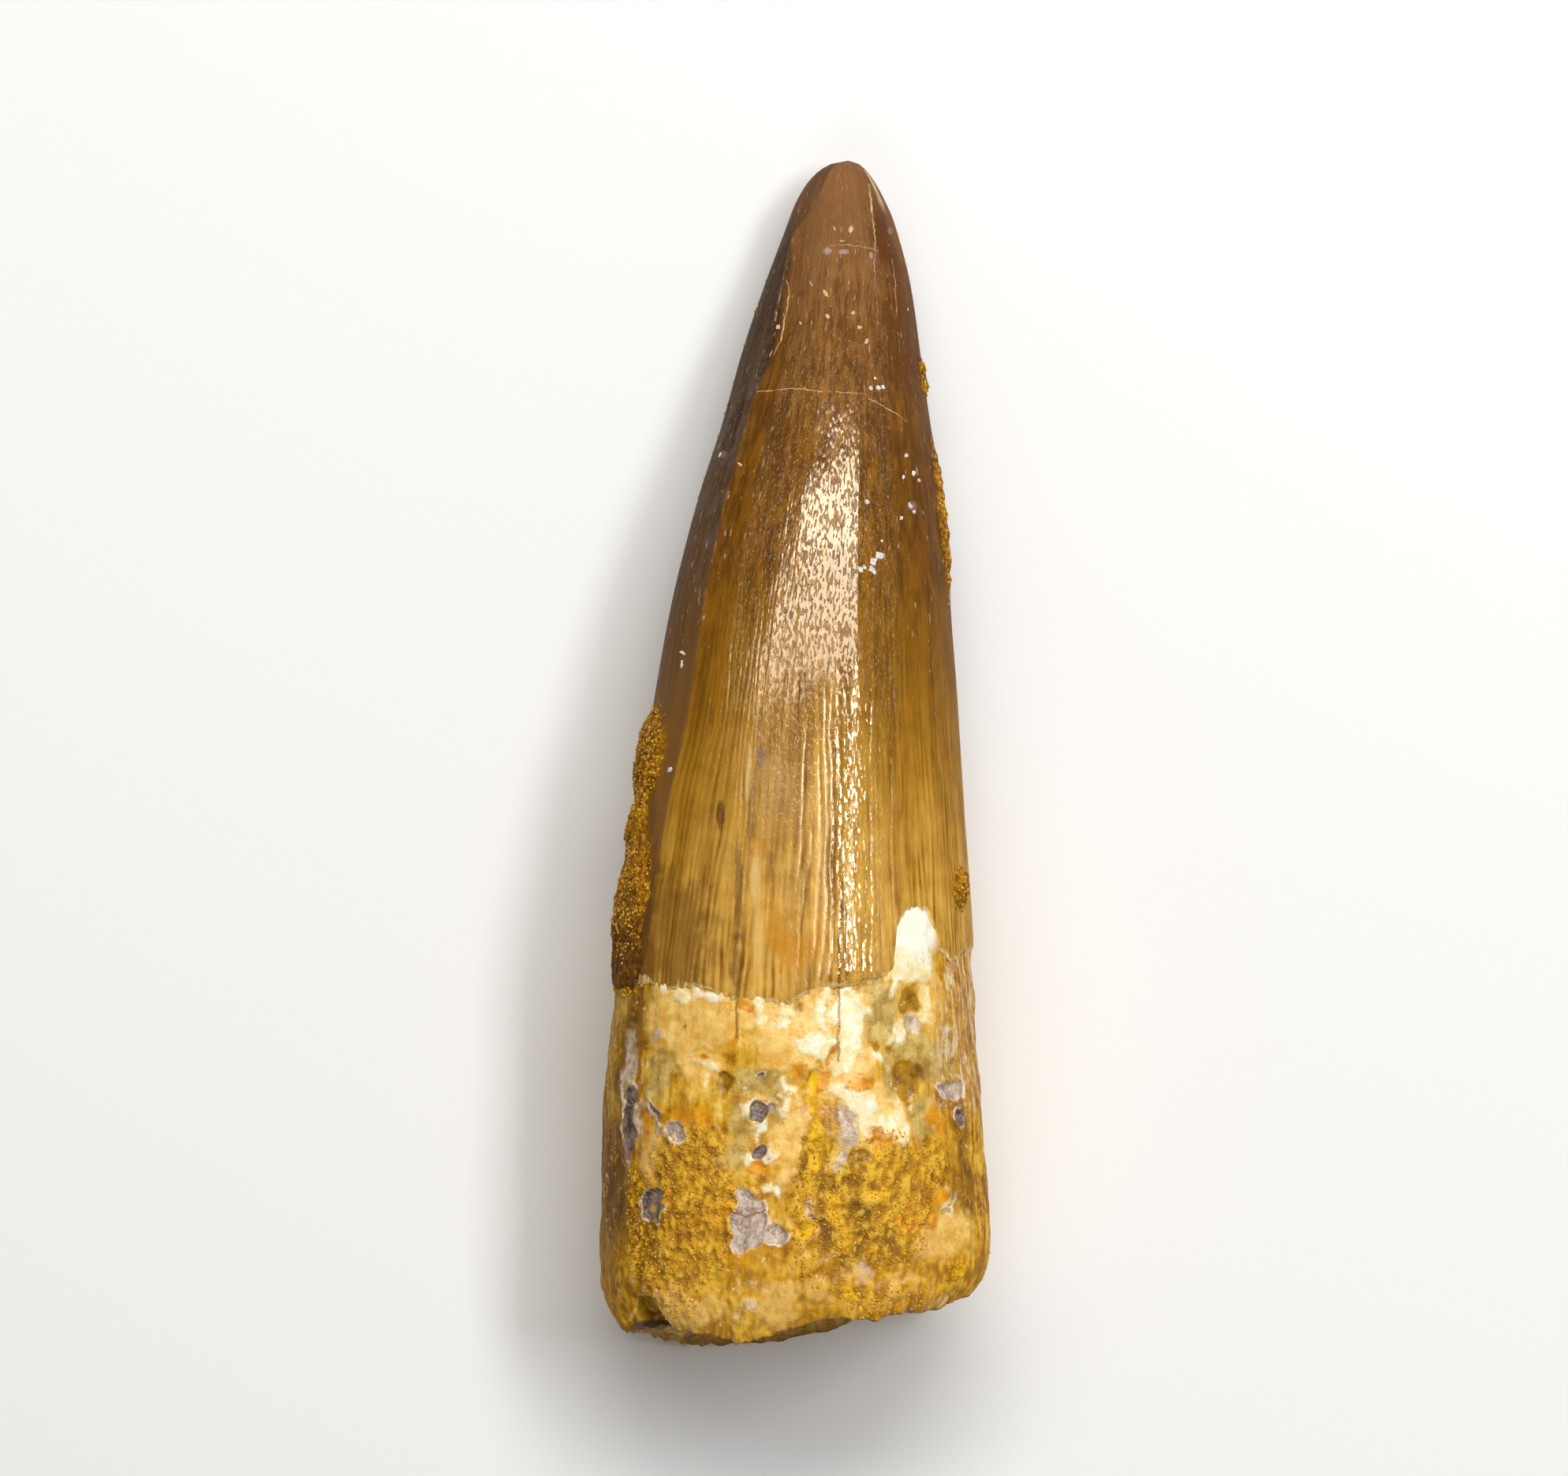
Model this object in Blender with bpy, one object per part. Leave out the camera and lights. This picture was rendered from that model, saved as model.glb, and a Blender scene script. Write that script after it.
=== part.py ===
"""A fossil spinosaurus tooth that lies on its flatter face.

It is one solid: a crown with a worn tip and a cutting edge down each side, the step at the enamel's
ragged lower edge, and a crusted root that is broken across, with its pulp hollow open in the break.

+Z is up, +Y runs towards the tip, and +X is to the right when the tooth is seen from above with its tip
away from the reader. The origin is on the surface that the tooth rests on, under the middle of its box.
Sizes below are in millimetres, and the mesh is turned into metres at the end.
"""

import math

import bmesh
import bpy
import numpy as np
from mathutils import Vector, noise

MM = 0.001

# Driving sizes
TOOTH_LENGTH = 64.0
ENAMEL_THICKNESS = 0.16
CARINA_HEIGHT = 0.28
CARINA_SPREAD = 5.0  # degrees to either side of a cutting edge
CARINA_ON_ROOT = 0.25  # share of its height that a cutting edge keeps on the root
CARINA_FADING, WAVE_FADING, KEEL_FADING = 3.0, 4.0, 6.0  # lengths of the tip over which they wear away
KEEL_ANGLE, KEEL_SPREAD, KEEL_HEIGHT = 71.0, 12.0, 0.13  # a low blunt keel along the upper face
KEEL_ROUNDING = 2.0
WAVE_SIZE, WAVE_HEIGHT = 7.0, 0.10  # broad waves over the whole tooth
ROOT_WAVE_SIZE, ROOT_WAVE_HEIGHT = 3.2, 0.22  # smaller ones on the bare root
CRUST_THICKNESS = 0.5
CRUST_LUMP_SIZE = 1.6
CRUST_BETWEEN_LUMPS, CRUST_ON_LUMPS = 0.35, 1.45  # shares of its thickness

# The tooth seen from above and from its side, at stations down from the tip:
# distance from the tip, left edge, right edge, underside, top
STATIONS = np.array(
    [
        (0.0, 2.90, 2.90, 2.35, 2.35),
        (0.7, 1.15, 3.95, 1.15, 3.60),
        (2.2, 0.10, 4.70, 0.38, 4.60),
        (4.1, -0.62, 5.34, -0.05, 5.45),
        (6.2, -1.40, 5.87, -0.16, 6.40),
        (10.5, -2.80, 6.50, 0.08, 8.30),
        (14.7, -3.98, 7.10, 0.38, 10.00),
        (19.0, -5.34, 7.62, 0.62, 11.60),
        (27.5, -7.23, 8.27, 0.78, 14.00),
        (36.0, -8.50, 8.83, 0.60, 15.60),
        (44.5, -9.70, 9.45, 0.22, 16.50),
        (50.0, -10.22, 9.91, -0.18, 16.80),
        (55.0, -10.30, 10.38, -0.44, 16.90),
        (59.5, -10.34, 10.44, -0.36, 16.80),
        (64.0, -10.20, 10.31, 0.05, 16.50),
    ]
)

# Roundness of the section: the upper face is a little fuller than the underside
TOP_POWER = 2.05
UNDERSIDE_POWER = 2.35

# Angles round the section are degrees from +X, turning up over the top. The left cutting edge drifts towards
# the upper face near the tip: distance from the tip, angle
LEFT_CARINA = 145.0
LEFT_CARINA_DRIFT = np.array(
    [
        (0.0, 150.0),
        (1.6, 146.0),
        (3.7, 141.5),
        (6.5, 135.5),
        (10.0, 132.0),
        (13.5, 136.0),
        (18.0, 136.5),
        (24.0, 136.5),
        (30.0, 136.5),
        (34.0, 140.5),
        (40.0, 142.5),
        (64.0, 145.0),
    ]
)
DRIFT_SPREAD = 34.0
RIGHT_CARINA = 358.0

# The ragged lower edge of the enamel: angle, height above the lowest point of the break. The high stretch at
# 50 degrees is where a chip of enamel has come away
ENAMEL_EDGE = np.array(
    [
        (0.0, 21.6),
        (12.0, 21.8),
        (21.0, 21.3),
        (30.0, 21.15),
        (36.0, 21.8),
        (39.5, 22.9),
        (43.0, 23.9),
        (47.0, 24.0),
        (52.0, 23.8),
        (55.5, 23.0),
        (57.5, 20.7),
        (61.0, 20.5),
        (71.0, 20.1),
        (81.0, 20.0),
        (85.0, 19.7),
        (93.0, 19.05),
        (99.0, 19.3),
        (108.0, 19.3),
        (113.0, 19.55),
        (119.0, 19.9),
        (127.0, 20.0),
        (137.0, 19.8),
        (143.0, 20.1),
        (152.0, 20.0),
        (165.0, 19.6),
        (180.0, 19.8),
        (215.0, 20.8),
        (250.0, 19.2),
        (285.0, 20.4),
        (320.0, 19.5),
        (360.0, 21.6),
    ]
)
EDGE_ROUGHNESS, EDGE_RAG_SIZE = 0.15, 0.12  # the rags' size is a share of the tooth's half width
LEDGE_ROW_DROP = 0.12  # the root's first row stands this far below the enamel's edge

# The rim of the break: angle, height above its lowest point
BREAK_RIM = np.array(
    [
        (0.0, 4.0),
        (20.0, 3.6),
        (40.0, 3.25),
        (56.0, 3.05),
        (69.0, 2.8),
        (81.0, 2.85),
        (92.0, 2.25),
        (104.0, 1.65),
        (116.0, 1.95),
        (128.0, 2.15),
        (136.0, 2.6),
        (146.0, 2.65),
        (151.0, 2.3),
        (157.0, 1.8),
        (166.0, 1.95),
        (180.0, 2.4),
        (200.0, 1.7),
        (225.0, 0.5),
        (250.0, 0.1),
        (270.0, 0.4),
        (290.0, 1.6),
        (320.0, 2.4),
        (340.0, 3.2),
        (360.0, 4.0),
    ]
)
RIM_ROUGHNESS, RIM_RAG_SIZE = 0.22, 0.09
RIM_WEAR, RIM_WEAR_LENGTH = 0.75, 2.2

# A chip out of the upper wall beside the pulp hollow: angle, its half width in degrees, how much wider
# it gets on its right side at the rim, length from the rim, depth
CHIP_ANGLE = 142.0
CHIP_HALF_WIDTH = 5.5
CHIP_FLARE = 7.0
CHIP_LENGTH = 1.25
CHIP_DEPTH = 0.8

# The pulp hollow in the break: its share of the section's width, wider on the chip's side, and its depth
HOLLOW_SHARE = 0.60
HOLLOW_SHARE_AT_CHIP = 0.22
HOLLOW_DEPTH = 1.5
HOLLOW_DEPTH_AT_CHIP = 2.2
HOLLOW_WALL_SLOPE = 0.14
HOLLOW_SIDE = 147.0  # the angle it is wider towards, and how far that reaches to either side
HOLLOW_SIDE_SPREAD = 55.0
BREAK_ROUGHNESS, BREAK_LUMP_SIZE = 0.3, 2.4
RAGGED_FADING = 9  # the higher, the sooner the rim's rags fade out on the break

# Sandy crust on the tooth: angle, height, half width in degrees, half length, thickness as a share
CRUST_PATCHES = (
    (170.0, 31.8, 16.0, 3.2, 1.0),
    (168.0, 28.2, 12.0, 2.8, 1.0),
    (164.0, 24.5, 17.0, 4.0, 1.2),
    (160.0, 21.4, 16.0, 2.6, 0.9),
    (2.0, 44.5, 10.0, 5.4, 0.45),
    (0.0, 52.2, 9.0, 1.2, 0.5),
    (17.0, 25.0, 10.0, 1.3, 0.7),
    (124.0, 9.5, 20.0, 4.6, 0.6),
    (128.0, 4.6, 16.0, 2.6, 0.5),
    (62.0, 9.0, 20.0, 4.4, 0.7),
    (86.0, 7.6, 9.0, 4.0, 0.6),
    (60.0, 3.4, 22.0, 1.6, 0.4),
    (222.0, 9.0, 24.0, 5.0, 0.8),
    (305.0, 11.0, 22.0, 4.0, 0.7),
    (240.0, 27.0, 14.0, 5.0, 0.5),
    (300.0, 33.0, 12.0, 4.5, 0.5),
)

# Smooth flakes that have come off the root: angle, height, half width in degrees, half length, depth
ROOT_PITS = (
    (105.0, 6.3, 9.0, 1.9, 0.35),
    (164.0, 11.2, 4.5, 2.6, 0.30),
    (103.0, 12.4, 5.0, 1.0, 0.25),
    (34.0, 13.4, 7.0, 1.5, 0.30),
    (150.0, 7.7, 5.5, 1.2, 0.25),
)

# The mesh: columns round the tooth, closer together over the chipped left edge, and rows along it
FINE_COLUMNS_FROM, FINE_COLUMNS_TO, FINE_STEP = 121.0, 187.0, 3.0
COARSE_COLUMNS = 46
CROWN_ROWS = 42
ROOT_ROWS = 20
CROWN_ROW_CROWDING = 1.45  # rows stand closer together towards the tip
BREAK_ROWS = (0.94, 0.86, 0.77, 0.67, 0.50, 0.32, 0.14)  # shares of the section, from the rim to the middle


def smooth_curve(knots, values, at):
    """A smooth curve through the values at the knots, read at any places."""
    slopes = np.gradient(values, knots)
    left = np.clip(np.searchsorted(knots, at, side="right") - 1, 0, len(knots) - 2)
    span = knots[left + 1] - knots[left]
    t = (at - knots[left]) / span
    return (
        values[left] * (2 * t**3 - 3 * t**2 + 1)
        + slopes[left] * span * (t**3 - 2 * t**2 + t)
        + values[left + 1] * (3 * t**2 - 2 * t**3)
        + slopes[left + 1] * span * (t**3 - t**2)
    )


def bump(distance, half_width):
    """1 in the middle, falling smoothly to 0 at the half width and beyond."""
    share = np.clip(1 - (distance / half_width) ** 2, 0, 1)
    return share**2 * (3 - 2 * share)


def turn_between(angle, other):
    """The signed turn from one angle to another, in degrees."""
    return (np.asarray(angle) - other + 180.0) % 360.0 - 180.0


def noise_at(x, y, z, scale, seed):
    """Smooth noise from -1 to 1 at points in millimetres, with features about scale across."""
    shape = np.broadcast(x, y, z).shape
    columns = [np.broadcast_to(a, shape).ravel() / scale for a in (x, y, z)]
    values = [noise.noise(Vector((a + seed, b, c))) for a, b, c in zip(*columns)]
    return np.array(values).reshape(shape)


def crust_cover(angle, height):
    """How much crust lies at each place, from 0 to 1."""
    cover = np.zeros(np.broadcast(angle, height).shape)
    for middle, level, half_turn, half_length, share in CRUST_PATCHES:
        away = np.hypot(turn_between(angle, middle) / half_turn, (height - level) / half_length)
        cover = np.maximum(cover, share * bump(away, 1.0))
    return cover


def lift(angle, height, x, y, z):
    """How far the surface stands off the smooth section, in millimetres."""
    from_tip = TOOTH_LENGTH - height
    on_crown = np.clip(height - np.interp(angle % 360.0, *ENAMEL_EDGE.T), -0.5, 0.5) + 0.5

    left = np.exp(-np.abs(turn_between(angle, LEFT_CARINA)) / CARINA_SPREAD)
    right = np.exp(-np.abs(turn_between(angle, RIGHT_CARINA)) / CARINA_SPREAD)
    kept = CARINA_ON_ROOT + (1 - CARINA_ON_ROOT) * on_crown
    edges = CARINA_HEIGHT * (left + right) * kept * np.clip(from_tip / CARINA_FADING, 0, 1)
    off_keel = np.hypot(turn_between(angle, KEEL_ANGLE), KEEL_ROUNDING)
    keel = KEEL_HEIGHT * np.exp(-off_keel / KEEL_SPREAD) * on_crown
    keel = keel * np.clip(from_tip / KEEL_FADING - 1, 0, 1)

    pits = np.zeros_like(edges)
    for middle, level, half_turn, half_length, depth in ROOT_PITS:
        away = np.hypot(turn_between(angle, middle) / half_turn, (height - level) / half_length)
        pits = np.maximum(pits, depth * bump(away, 1.0))

    lumps = 0.5 + 0.5 * noise_at(x, y, z, CRUST_LUMP_SIZE, 11.0)
    lumpy = CRUST_BETWEEN_LUMPS * (1 - lumps) + CRUST_ON_LUMPS * lumps
    crust = CRUST_THICKNESS * crust_cover(angle, height) * lumpy
    waves = WAVE_HEIGHT * noise_at(x, y, z, WAVE_SIZE, 3.0)
    waves = waves + (1 - on_crown) * ROOT_WAVE_HEIGHT * noise_at(x, y, z, ROOT_WAVE_SIZE, 5.0)
    return edges + keel + crust - pits + waves * np.clip(from_tip / WAVE_FADING, 0, 1)


def section(columns, height):
    """The smooth section at each height: x and z of its points, and x and z of their outward directions."""
    from_tip = TOOTH_LENGTH - height
    down = np.sqrt(np.clip(from_tip, 0, None))
    knots = np.sqrt(STATIONS[:, 0])
    left, right, bottom, top = (smooth_curve(knots, STATIONS[:, i], down) for i in range(1, 5))

    drift = smooth_curve(*LEFT_CARINA_DRIFT.T, from_tip) - LEFT_CARINA
    angle = columns + drift * np.exp(-((turn_between(columns, LEFT_CARINA) / DRIFT_SPREAD) ** 2))
    across, up = np.cos(np.radians(angle)), np.sin(np.radians(angle))
    power = np.where(up > 0, TOP_POWER, UNDERSIDE_POWER)
    across = np.sign(across) * np.abs(across) ** (2 / power)
    up = np.sign(up) * np.abs(up) ** (2 / power)
    half_width, half_depth = (right - left) / 2, (top - bottom) / 2
    outward_x, outward_z = half_depth * across, half_width * up
    length = np.hypot(outward_x, outward_z) + 1e-9
    x = (left + right) / 2 + half_width * across
    z = (bottom + top) / 2 + half_depth * up
    return x, z, outward_x / length, outward_z / length


def surface(columns, height, below_enamel):
    """Points of the tooth's outside, at column angles and heights above the lowest point of the break."""
    x, z, outward_x, outward_z = section(columns, height)
    above_rim = height - rim_height(columns)
    wear = RIM_WEAR * np.clip(1 - above_rim / RIM_WEAR_LENGTH, 0, 1) ** 2
    turn = turn_between(columns, CHIP_ANGLE)
    right_side = -CHIP_HALF_WIDTH - CHIP_FLARE * (1 - above_rim / CHIP_LENGTH)
    chip = (turn < CHIP_HALF_WIDTH) & (turn > right_side) & (above_rim < CHIP_LENGTH)
    off = lift(columns, height, x, height, z) - wear - CHIP_DEPTH * chip - ENAMEL_THICKNESS * below_enamel
    return np.stack([x + off * outward_x, height, z + off * outward_z], axis=-1)


def rim_height(columns):
    """Height of the break's rim at each column."""
    rough = noise_at(np.cos(np.radians(columns)), np.sin(np.radians(columns)), 0.0, RIM_RAG_SIZE, 21.0)
    return smooth_curve(*BREAK_RIM.T, columns % 360.0) + RIM_ROUGHNESS * rough


def break_rows(columns, rim):
    """Rows of points over the break, from the rim towards its middle. The rim's rags fade out inside it."""
    x, z = section(columns, rim[:, 1])[:2]
    spacing = (np.roll(columns, -1) - np.roll(columns, 1)) % 360.0
    middle = np.average(rim, axis=0, weights=spacing)
    slope_x, slope_z = np.linalg.lstsq((rim - middle)[:, [0, 2]], rim[:, 1] - middle[1], rcond=None)[0]
    level = slope_x * (x - middle[0]) + slope_z * (z - middle[2])
    even = np.stack([x - middle[0], level, z - middle[2]], axis=-1)
    at_chip = bump(turn_between(columns, HOLLOW_SIDE), HOLLOW_SIDE_SPREAD)
    hollow_edge = HOLLOW_SHARE + HOLLOW_SHARE_AT_CHIP * at_chip
    for share in BREAK_ROWS:
        row = middle + even * share + (rim - middle - even) * share**RAGGED_FADING
        sunk = np.clip((hollow_edge - share) / HOLLOW_WALL_SLOPE + 0.5, 0, 1)
        row[:, 1] += sunk * (HOLLOW_DEPTH + HOLLOW_DEPTH_AT_CHIP * at_chip * share)
        row[:, 1] += BREAK_ROUGHNESS * noise_at(row[:, 0], 0.0, row[:, 2], BREAK_LUMP_SIZE, 31.0)
        yield row


def column_angles():
    """Column angles round the tooth: one set of even small steps, and even larger steps over the rest."""
    fine = np.arange(FINE_COLUMNS_FROM, FINE_COLUMNS_TO, FINE_STEP)
    coarse = np.linspace(fine[-1], FINE_COLUMNS_FROM + 360.0, COARSE_COLUMNS + 1)[1:-1]
    return np.concatenate([fine, coarse])


def tooth_rows():
    """Every row of the tooth's surface, from next to the tip down to the middle of the break."""
    columns = column_angles()
    rough = noise_at(np.cos(np.radians(columns)), np.sin(np.radians(columns)), 0.0, EDGE_RAG_SIZE, 41.0)
    edge = np.interp(columns % 360.0, *ENAMEL_EDGE.T) + EDGE_ROUGHNESS * rough
    rim = rim_height(columns)
    for i in range(1, CROWN_ROWS + 1):
        from_tip = (TOOTH_LENGTH - edge) * (i / CROWN_ROWS) ** CROWN_ROW_CROWDING
        yield surface(columns, TOOTH_LENGTH - from_tip, 0.0)
    for i in range(ROOT_ROWS + 1):
        share = i / ROOT_ROWS
        height = (edge - LEDGE_ROW_DROP) * (1 - share) + rim * share
        last = surface(columns, height, 1.0)
        yield last
    yield from break_rows(columns, last)


def loft(bm, rows, first_pole, last_pole):
    """Faces between rows of points that run round the piece, closed by a point at each end."""
    rings = [[bm.verts.new(point) for point in row] for row in rows]
    start, end = bm.verts.new(first_pole), bm.verts.new(last_pole)
    count = len(rings[0])
    for i in range(count):
        j = (i + 1) % count
        bm.faces.new((start, rings[0][i], rings[0][j]))
        bm.faces.new((end, rings[-1][j], rings[-1][i]))
        for upper, lower in zip(rings, rings[1:]):
            bm.faces.new((upper[i], lower[i], lower[j], upper[j]))


def rest_flat(bm):
    """Cuts off what reaches below the resting surface, and closes the cut with flat faces."""
    low = [f for f in bm.faces if min(v.co.z for v in f.verts) < 0]
    bmesh.ops.triangulate(bm, faces=low)
    geometry = bm.verts[:] + bm.edges[:] + bm.faces[:]
    plane = {"plane_co": (0, 0, 0), "plane_no": (0, 0, -1)}
    cut = bmesh.ops.bisect_plane(bm, geom=geometry, clear_outer=True, **plane)
    edges = [e for e in cut["geom_cut"] if isinstance(e, bmesh.types.BMEdge)]
    bmesh.ops.holes_fill(bm, edges=edges, sides=0)


def fossil_material():
    """Aged dentine and sand: mostly ochre, half glossy."""
    material = bpy.data.materials.new("fossil_tooth")
    material.use_nodes = True
    shader = material.node_tree.nodes["Principled BSDF"]
    shader.inputs["Base Color"].default_value = (0.33, 0.15, 0.02, 1)
    shader.inputs["Roughness"].default_value = 0.42
    shader.inputs["Metallic"].default_value = 0.0
    return material


def build_tooth(collection):
    """The whole tooth as one mesh object."""
    rows = list(tooth_rows())
    tip = Vector((STATIONS[0, 1], TOOTH_LENGTH, STATIONS[0, 3]))
    middle = Vector(rows[-1].mean(axis=0))
    bm = bmesh.new()
    loft(bm, rows, tip, middle)
    rest_flat(bm)
    bmesh.ops.recalc_face_normals(bm, faces=bm.faces)
    low = [min(v.co[i] for v in bm.verts) for i in range(3)]
    high = [max(v.co[i] for v in bm.verts) for i in range(3)]
    centre = Vector(((low[0] + high[0]) / 2, (low[1] + high[1]) / 2, 0.0))
    bmesh.ops.translate(bm, vec=-centre, verts=bm.verts)
    bmesh.ops.scale(bm, vec=(MM, MM, MM), verts=bm.verts)
    mesh = bpy.data.meshes.new("tooth")
    bm.to_mesh(mesh)
    bm.free()
    mesh.materials.append(fossil_material())
    mesh.shade_smooth()
    mesh.set_sharp_from_angle(angle=math.radians(40))
    tooth = bpy.data.objects.new("tooth", mesh)
    collection.objects.link(tooth)
    return tooth


for old in list(bpy.data.objects):
    bpy.data.objects.remove(old)
fossil = bpy.data.collections.new("fossil_tooth")
bpy.context.scene.collection.children.link(fossil)
build_tooth(fossil)
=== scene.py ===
import bmesh
import bpy
import numpy as np
from mathutils import Matrix, Vector, noise


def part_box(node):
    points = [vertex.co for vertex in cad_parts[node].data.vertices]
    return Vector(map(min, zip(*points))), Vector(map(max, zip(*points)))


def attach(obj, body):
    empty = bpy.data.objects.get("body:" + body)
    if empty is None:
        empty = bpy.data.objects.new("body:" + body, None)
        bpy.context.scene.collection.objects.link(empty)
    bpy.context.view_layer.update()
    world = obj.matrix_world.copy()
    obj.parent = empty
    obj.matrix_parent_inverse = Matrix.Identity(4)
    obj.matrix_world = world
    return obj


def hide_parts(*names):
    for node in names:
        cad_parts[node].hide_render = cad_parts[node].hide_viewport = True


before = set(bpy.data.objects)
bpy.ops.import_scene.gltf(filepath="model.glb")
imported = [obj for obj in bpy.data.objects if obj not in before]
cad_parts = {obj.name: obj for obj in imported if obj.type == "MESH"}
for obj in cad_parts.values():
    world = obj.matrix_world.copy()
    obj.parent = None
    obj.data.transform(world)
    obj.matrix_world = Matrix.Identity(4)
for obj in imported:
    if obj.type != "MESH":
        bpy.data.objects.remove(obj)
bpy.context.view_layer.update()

# The view: the tooth lies on a pale table with its tip away from the reader, and is seen from straight above
# through a long lens, as in the reference picture.
MM = 0.001
SENSOR = 36
VIEW_WIDTH = 83.1  # across the picture, in millimetres, at the level where the tooth is widest
VIEW_DISTANCE = 330
WIDEST_LEVEL = 8
VIEW_CENTRE = (-0.65, 0.87)

lens = bpy.data.cameras.new("view")
lens.sensor_fit = "HORIZONTAL"
lens.sensor_width = SENSOR
lens.lens = SENSOR * VIEW_DISTANCE / VIEW_WIDTH
lens.clip_start = 0.01
view = bpy.data.objects.new("view", lens)
view.location = (VIEW_CENTRE[0] * MM, VIEW_CENTRE[1] * MM, (VIEW_DISTANCE + WIDEST_LEVEL) * MM)
bpy.context.scene.collection.objects.link(view)
bpy.context.scene.camera = view
bpy.context.scene.view_settings.view_transform = "Standard"

# The studio: a plain pale table, a soft window of light in three panes beyond the tip, a narrow bright strip
# to the right that draws the thin shine down the crown, a weak fill from the near side, and a dim even room.
LAMPS = (
    # name, place, width, length, strength, colour
    ("upper_window", (0.075, 0.4175, 0.5), 0.39, 0.125, 1.68, (1, 0.975, 0.94)),
    ("middle_window", (0.04, 0.3225, 0.5), 0.5, 0.065, 0.8, (1, 0.975, 0.94)),
    ("lower_window", (0, 0.2575, 0.5), 0.62, 0.065, 0.87, (1, 0.975, 0.94)),
    ("strip_lamp", (0.275, 0.12, 0.5), 0.13, 0.24, 1.5, (0.98, 0.98, 1)),
    ("fill_lamp", (-0.15, -0.42, 0.5), 0.3, 0.3, 0.45, (1, 0.985, 0.96)),
)
ROOM_STRENGTH = 0.11

table_mesh = bpy.data.meshes.new("table")
TABLE = 3
table_mesh.from_pydata(
    [(-TABLE, -TABLE, 0), (TABLE, -TABLE, 0), (TABLE, TABLE, 0), (-TABLE, TABLE, 0)], [], [(0, 1, 2, 3)]
)
table = bpy.data.objects.new("table", table_mesh)
table.location.z = -0.02 * MM
bpy.context.scene.collection.objects.link(table)
table_finish = bpy.data.materials.new("pale_table")
table_finish.use_nodes = True
table_shader = table_finish.node_tree.nodes["Principled BSDF"]
table_shader.inputs["Base Color"].default_value = (0.92, 0.93, 0.93, 1)
table_shader.inputs["Roughness"].default_value = 0.9
table_shader.inputs["Specular IOR Level"].default_value = 0.1
table_mesh.materials.append(table_finish)

for name, place, width, length, strength, colour in LAMPS:
    lamp = bpy.data.lights.new(name, "AREA")
    lamp.shape = "RECTANGLE"
    lamp.size, lamp.size_y = width, length
    lamp.energy = strength
    lamp.color = colour
    holder = bpy.data.objects.new(name, lamp)
    holder.location = place
    bpy.context.scene.collection.objects.link(holder)

room = bpy.data.worlds.new("room")
room.use_nodes = True
room.node_tree.nodes["Background"].inputs["Color"].default_value = (1, 0.94, 0.84, 1)
room.node_tree.nodes["Background"].inputs["Strength"].default_value = ROOM_STRENGTH
bpy.context.scene.world = room

# The crown: a cone of dentine under a thin skin of glossy amber enamel. Fine ridges run the whole way to the
# tip, a cutting edge stands up down each side, and the enamel ends at a ragged ledge over the root.
# Lengths are in millimetres; angles are degrees from +X, turning up over the top
TOOTH_LENGTH = 64
ENAMEL_THICKNESS = 0.12
CARINA_HEIGHT = 0.26
CARINA_SPREAD = 5
KEEL_ANGLE, KEEL_SPREAD, KEEL_HEIGHT = 71, 12, 0.13
KEEL_ROUNDING = 2
CRUST_THICKNESS = 0.5

# distance from the tip, left edge, right edge, underside, top
STATIONS = np.array([
    (0, 2.9, 2.9, 2.35, 2.35), (0.7, 1.15, 3.95, 1.15, 3.6), (2.2, 0.1, 4.7, 0.38, 4.6),
    (4.1, -0.62, 5.34, -0.05, 5.45), (6.2, -1.4, 5.87, -0.16, 6.4), (10.5, -2.8, 6.5, 0.08, 8.3),
    (14.7, -3.98, 7.1, 0.38, 10), (19, -5.34, 7.62, 0.62, 11.6), (27.5, -7.23, 8.27, 0.78, 14),
    (36, -8.5, 8.83, 0.6, 15.6), (44.5, -9.7, 9.45, 0.22, 16.5), (50, -10.22, 9.91, -0.18, 16.8),
    (55, -10.3, 10.38, -0.44, 16.9), (59.5, -10.34, 10.44, -0.36, 16.8), (64, -10.2, 10.31, 0.05, 16.5),
])
TOP_POWER = 2.05
UNDERSIDE_POWER = 2.35

LEFT_CARINA = 145
# distance from the tip, angle of the left cutting edge there
LEFT_CARINA_DRIFT = np.array([
    (0, 150), (1.6, 146), (3.7, 141.5), (6.5, 135.5), (10, 132), (13.5, 136), (18, 136.5), (24, 136.5),
    (30, 136.5), (34, 140.5), (40, 142.5), (64, 145),
])
DRIFT_SPREAD = 34  # how far round from the cutting edge its drift is felt
RIGHT_CARINA = 358
FRINGE_ANGLE = 17  # of the pale fringe beside the tip

# angle, height of the enamel's lower edge above the lowest point of the break
ENAMEL_EDGE = np.array([
    (0, 21.6), (12, 21.8), (21, 21.3), (28, 21.15), (33.5, 21.8), (37.5, 22.9), (41.5, 23.9), (47, 24.05),
    (52, 23.8), (55.5, 23), (57.5, 20.7), (61, 20.5), (71, 20.1), (81, 20), (85, 19.7), (93, 19.05),
    (99, 19.3), (108, 19.3), (113, 19.55), (119, 19.9), (127, 20), (137, 19.8), (143, 20.1), (152, 20),
    (165, 19.6), (180, 19.8), (215, 20.8), (250, 19.2), (285, 20.4), (320, 19.5), (360, 21.6),
])

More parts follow.
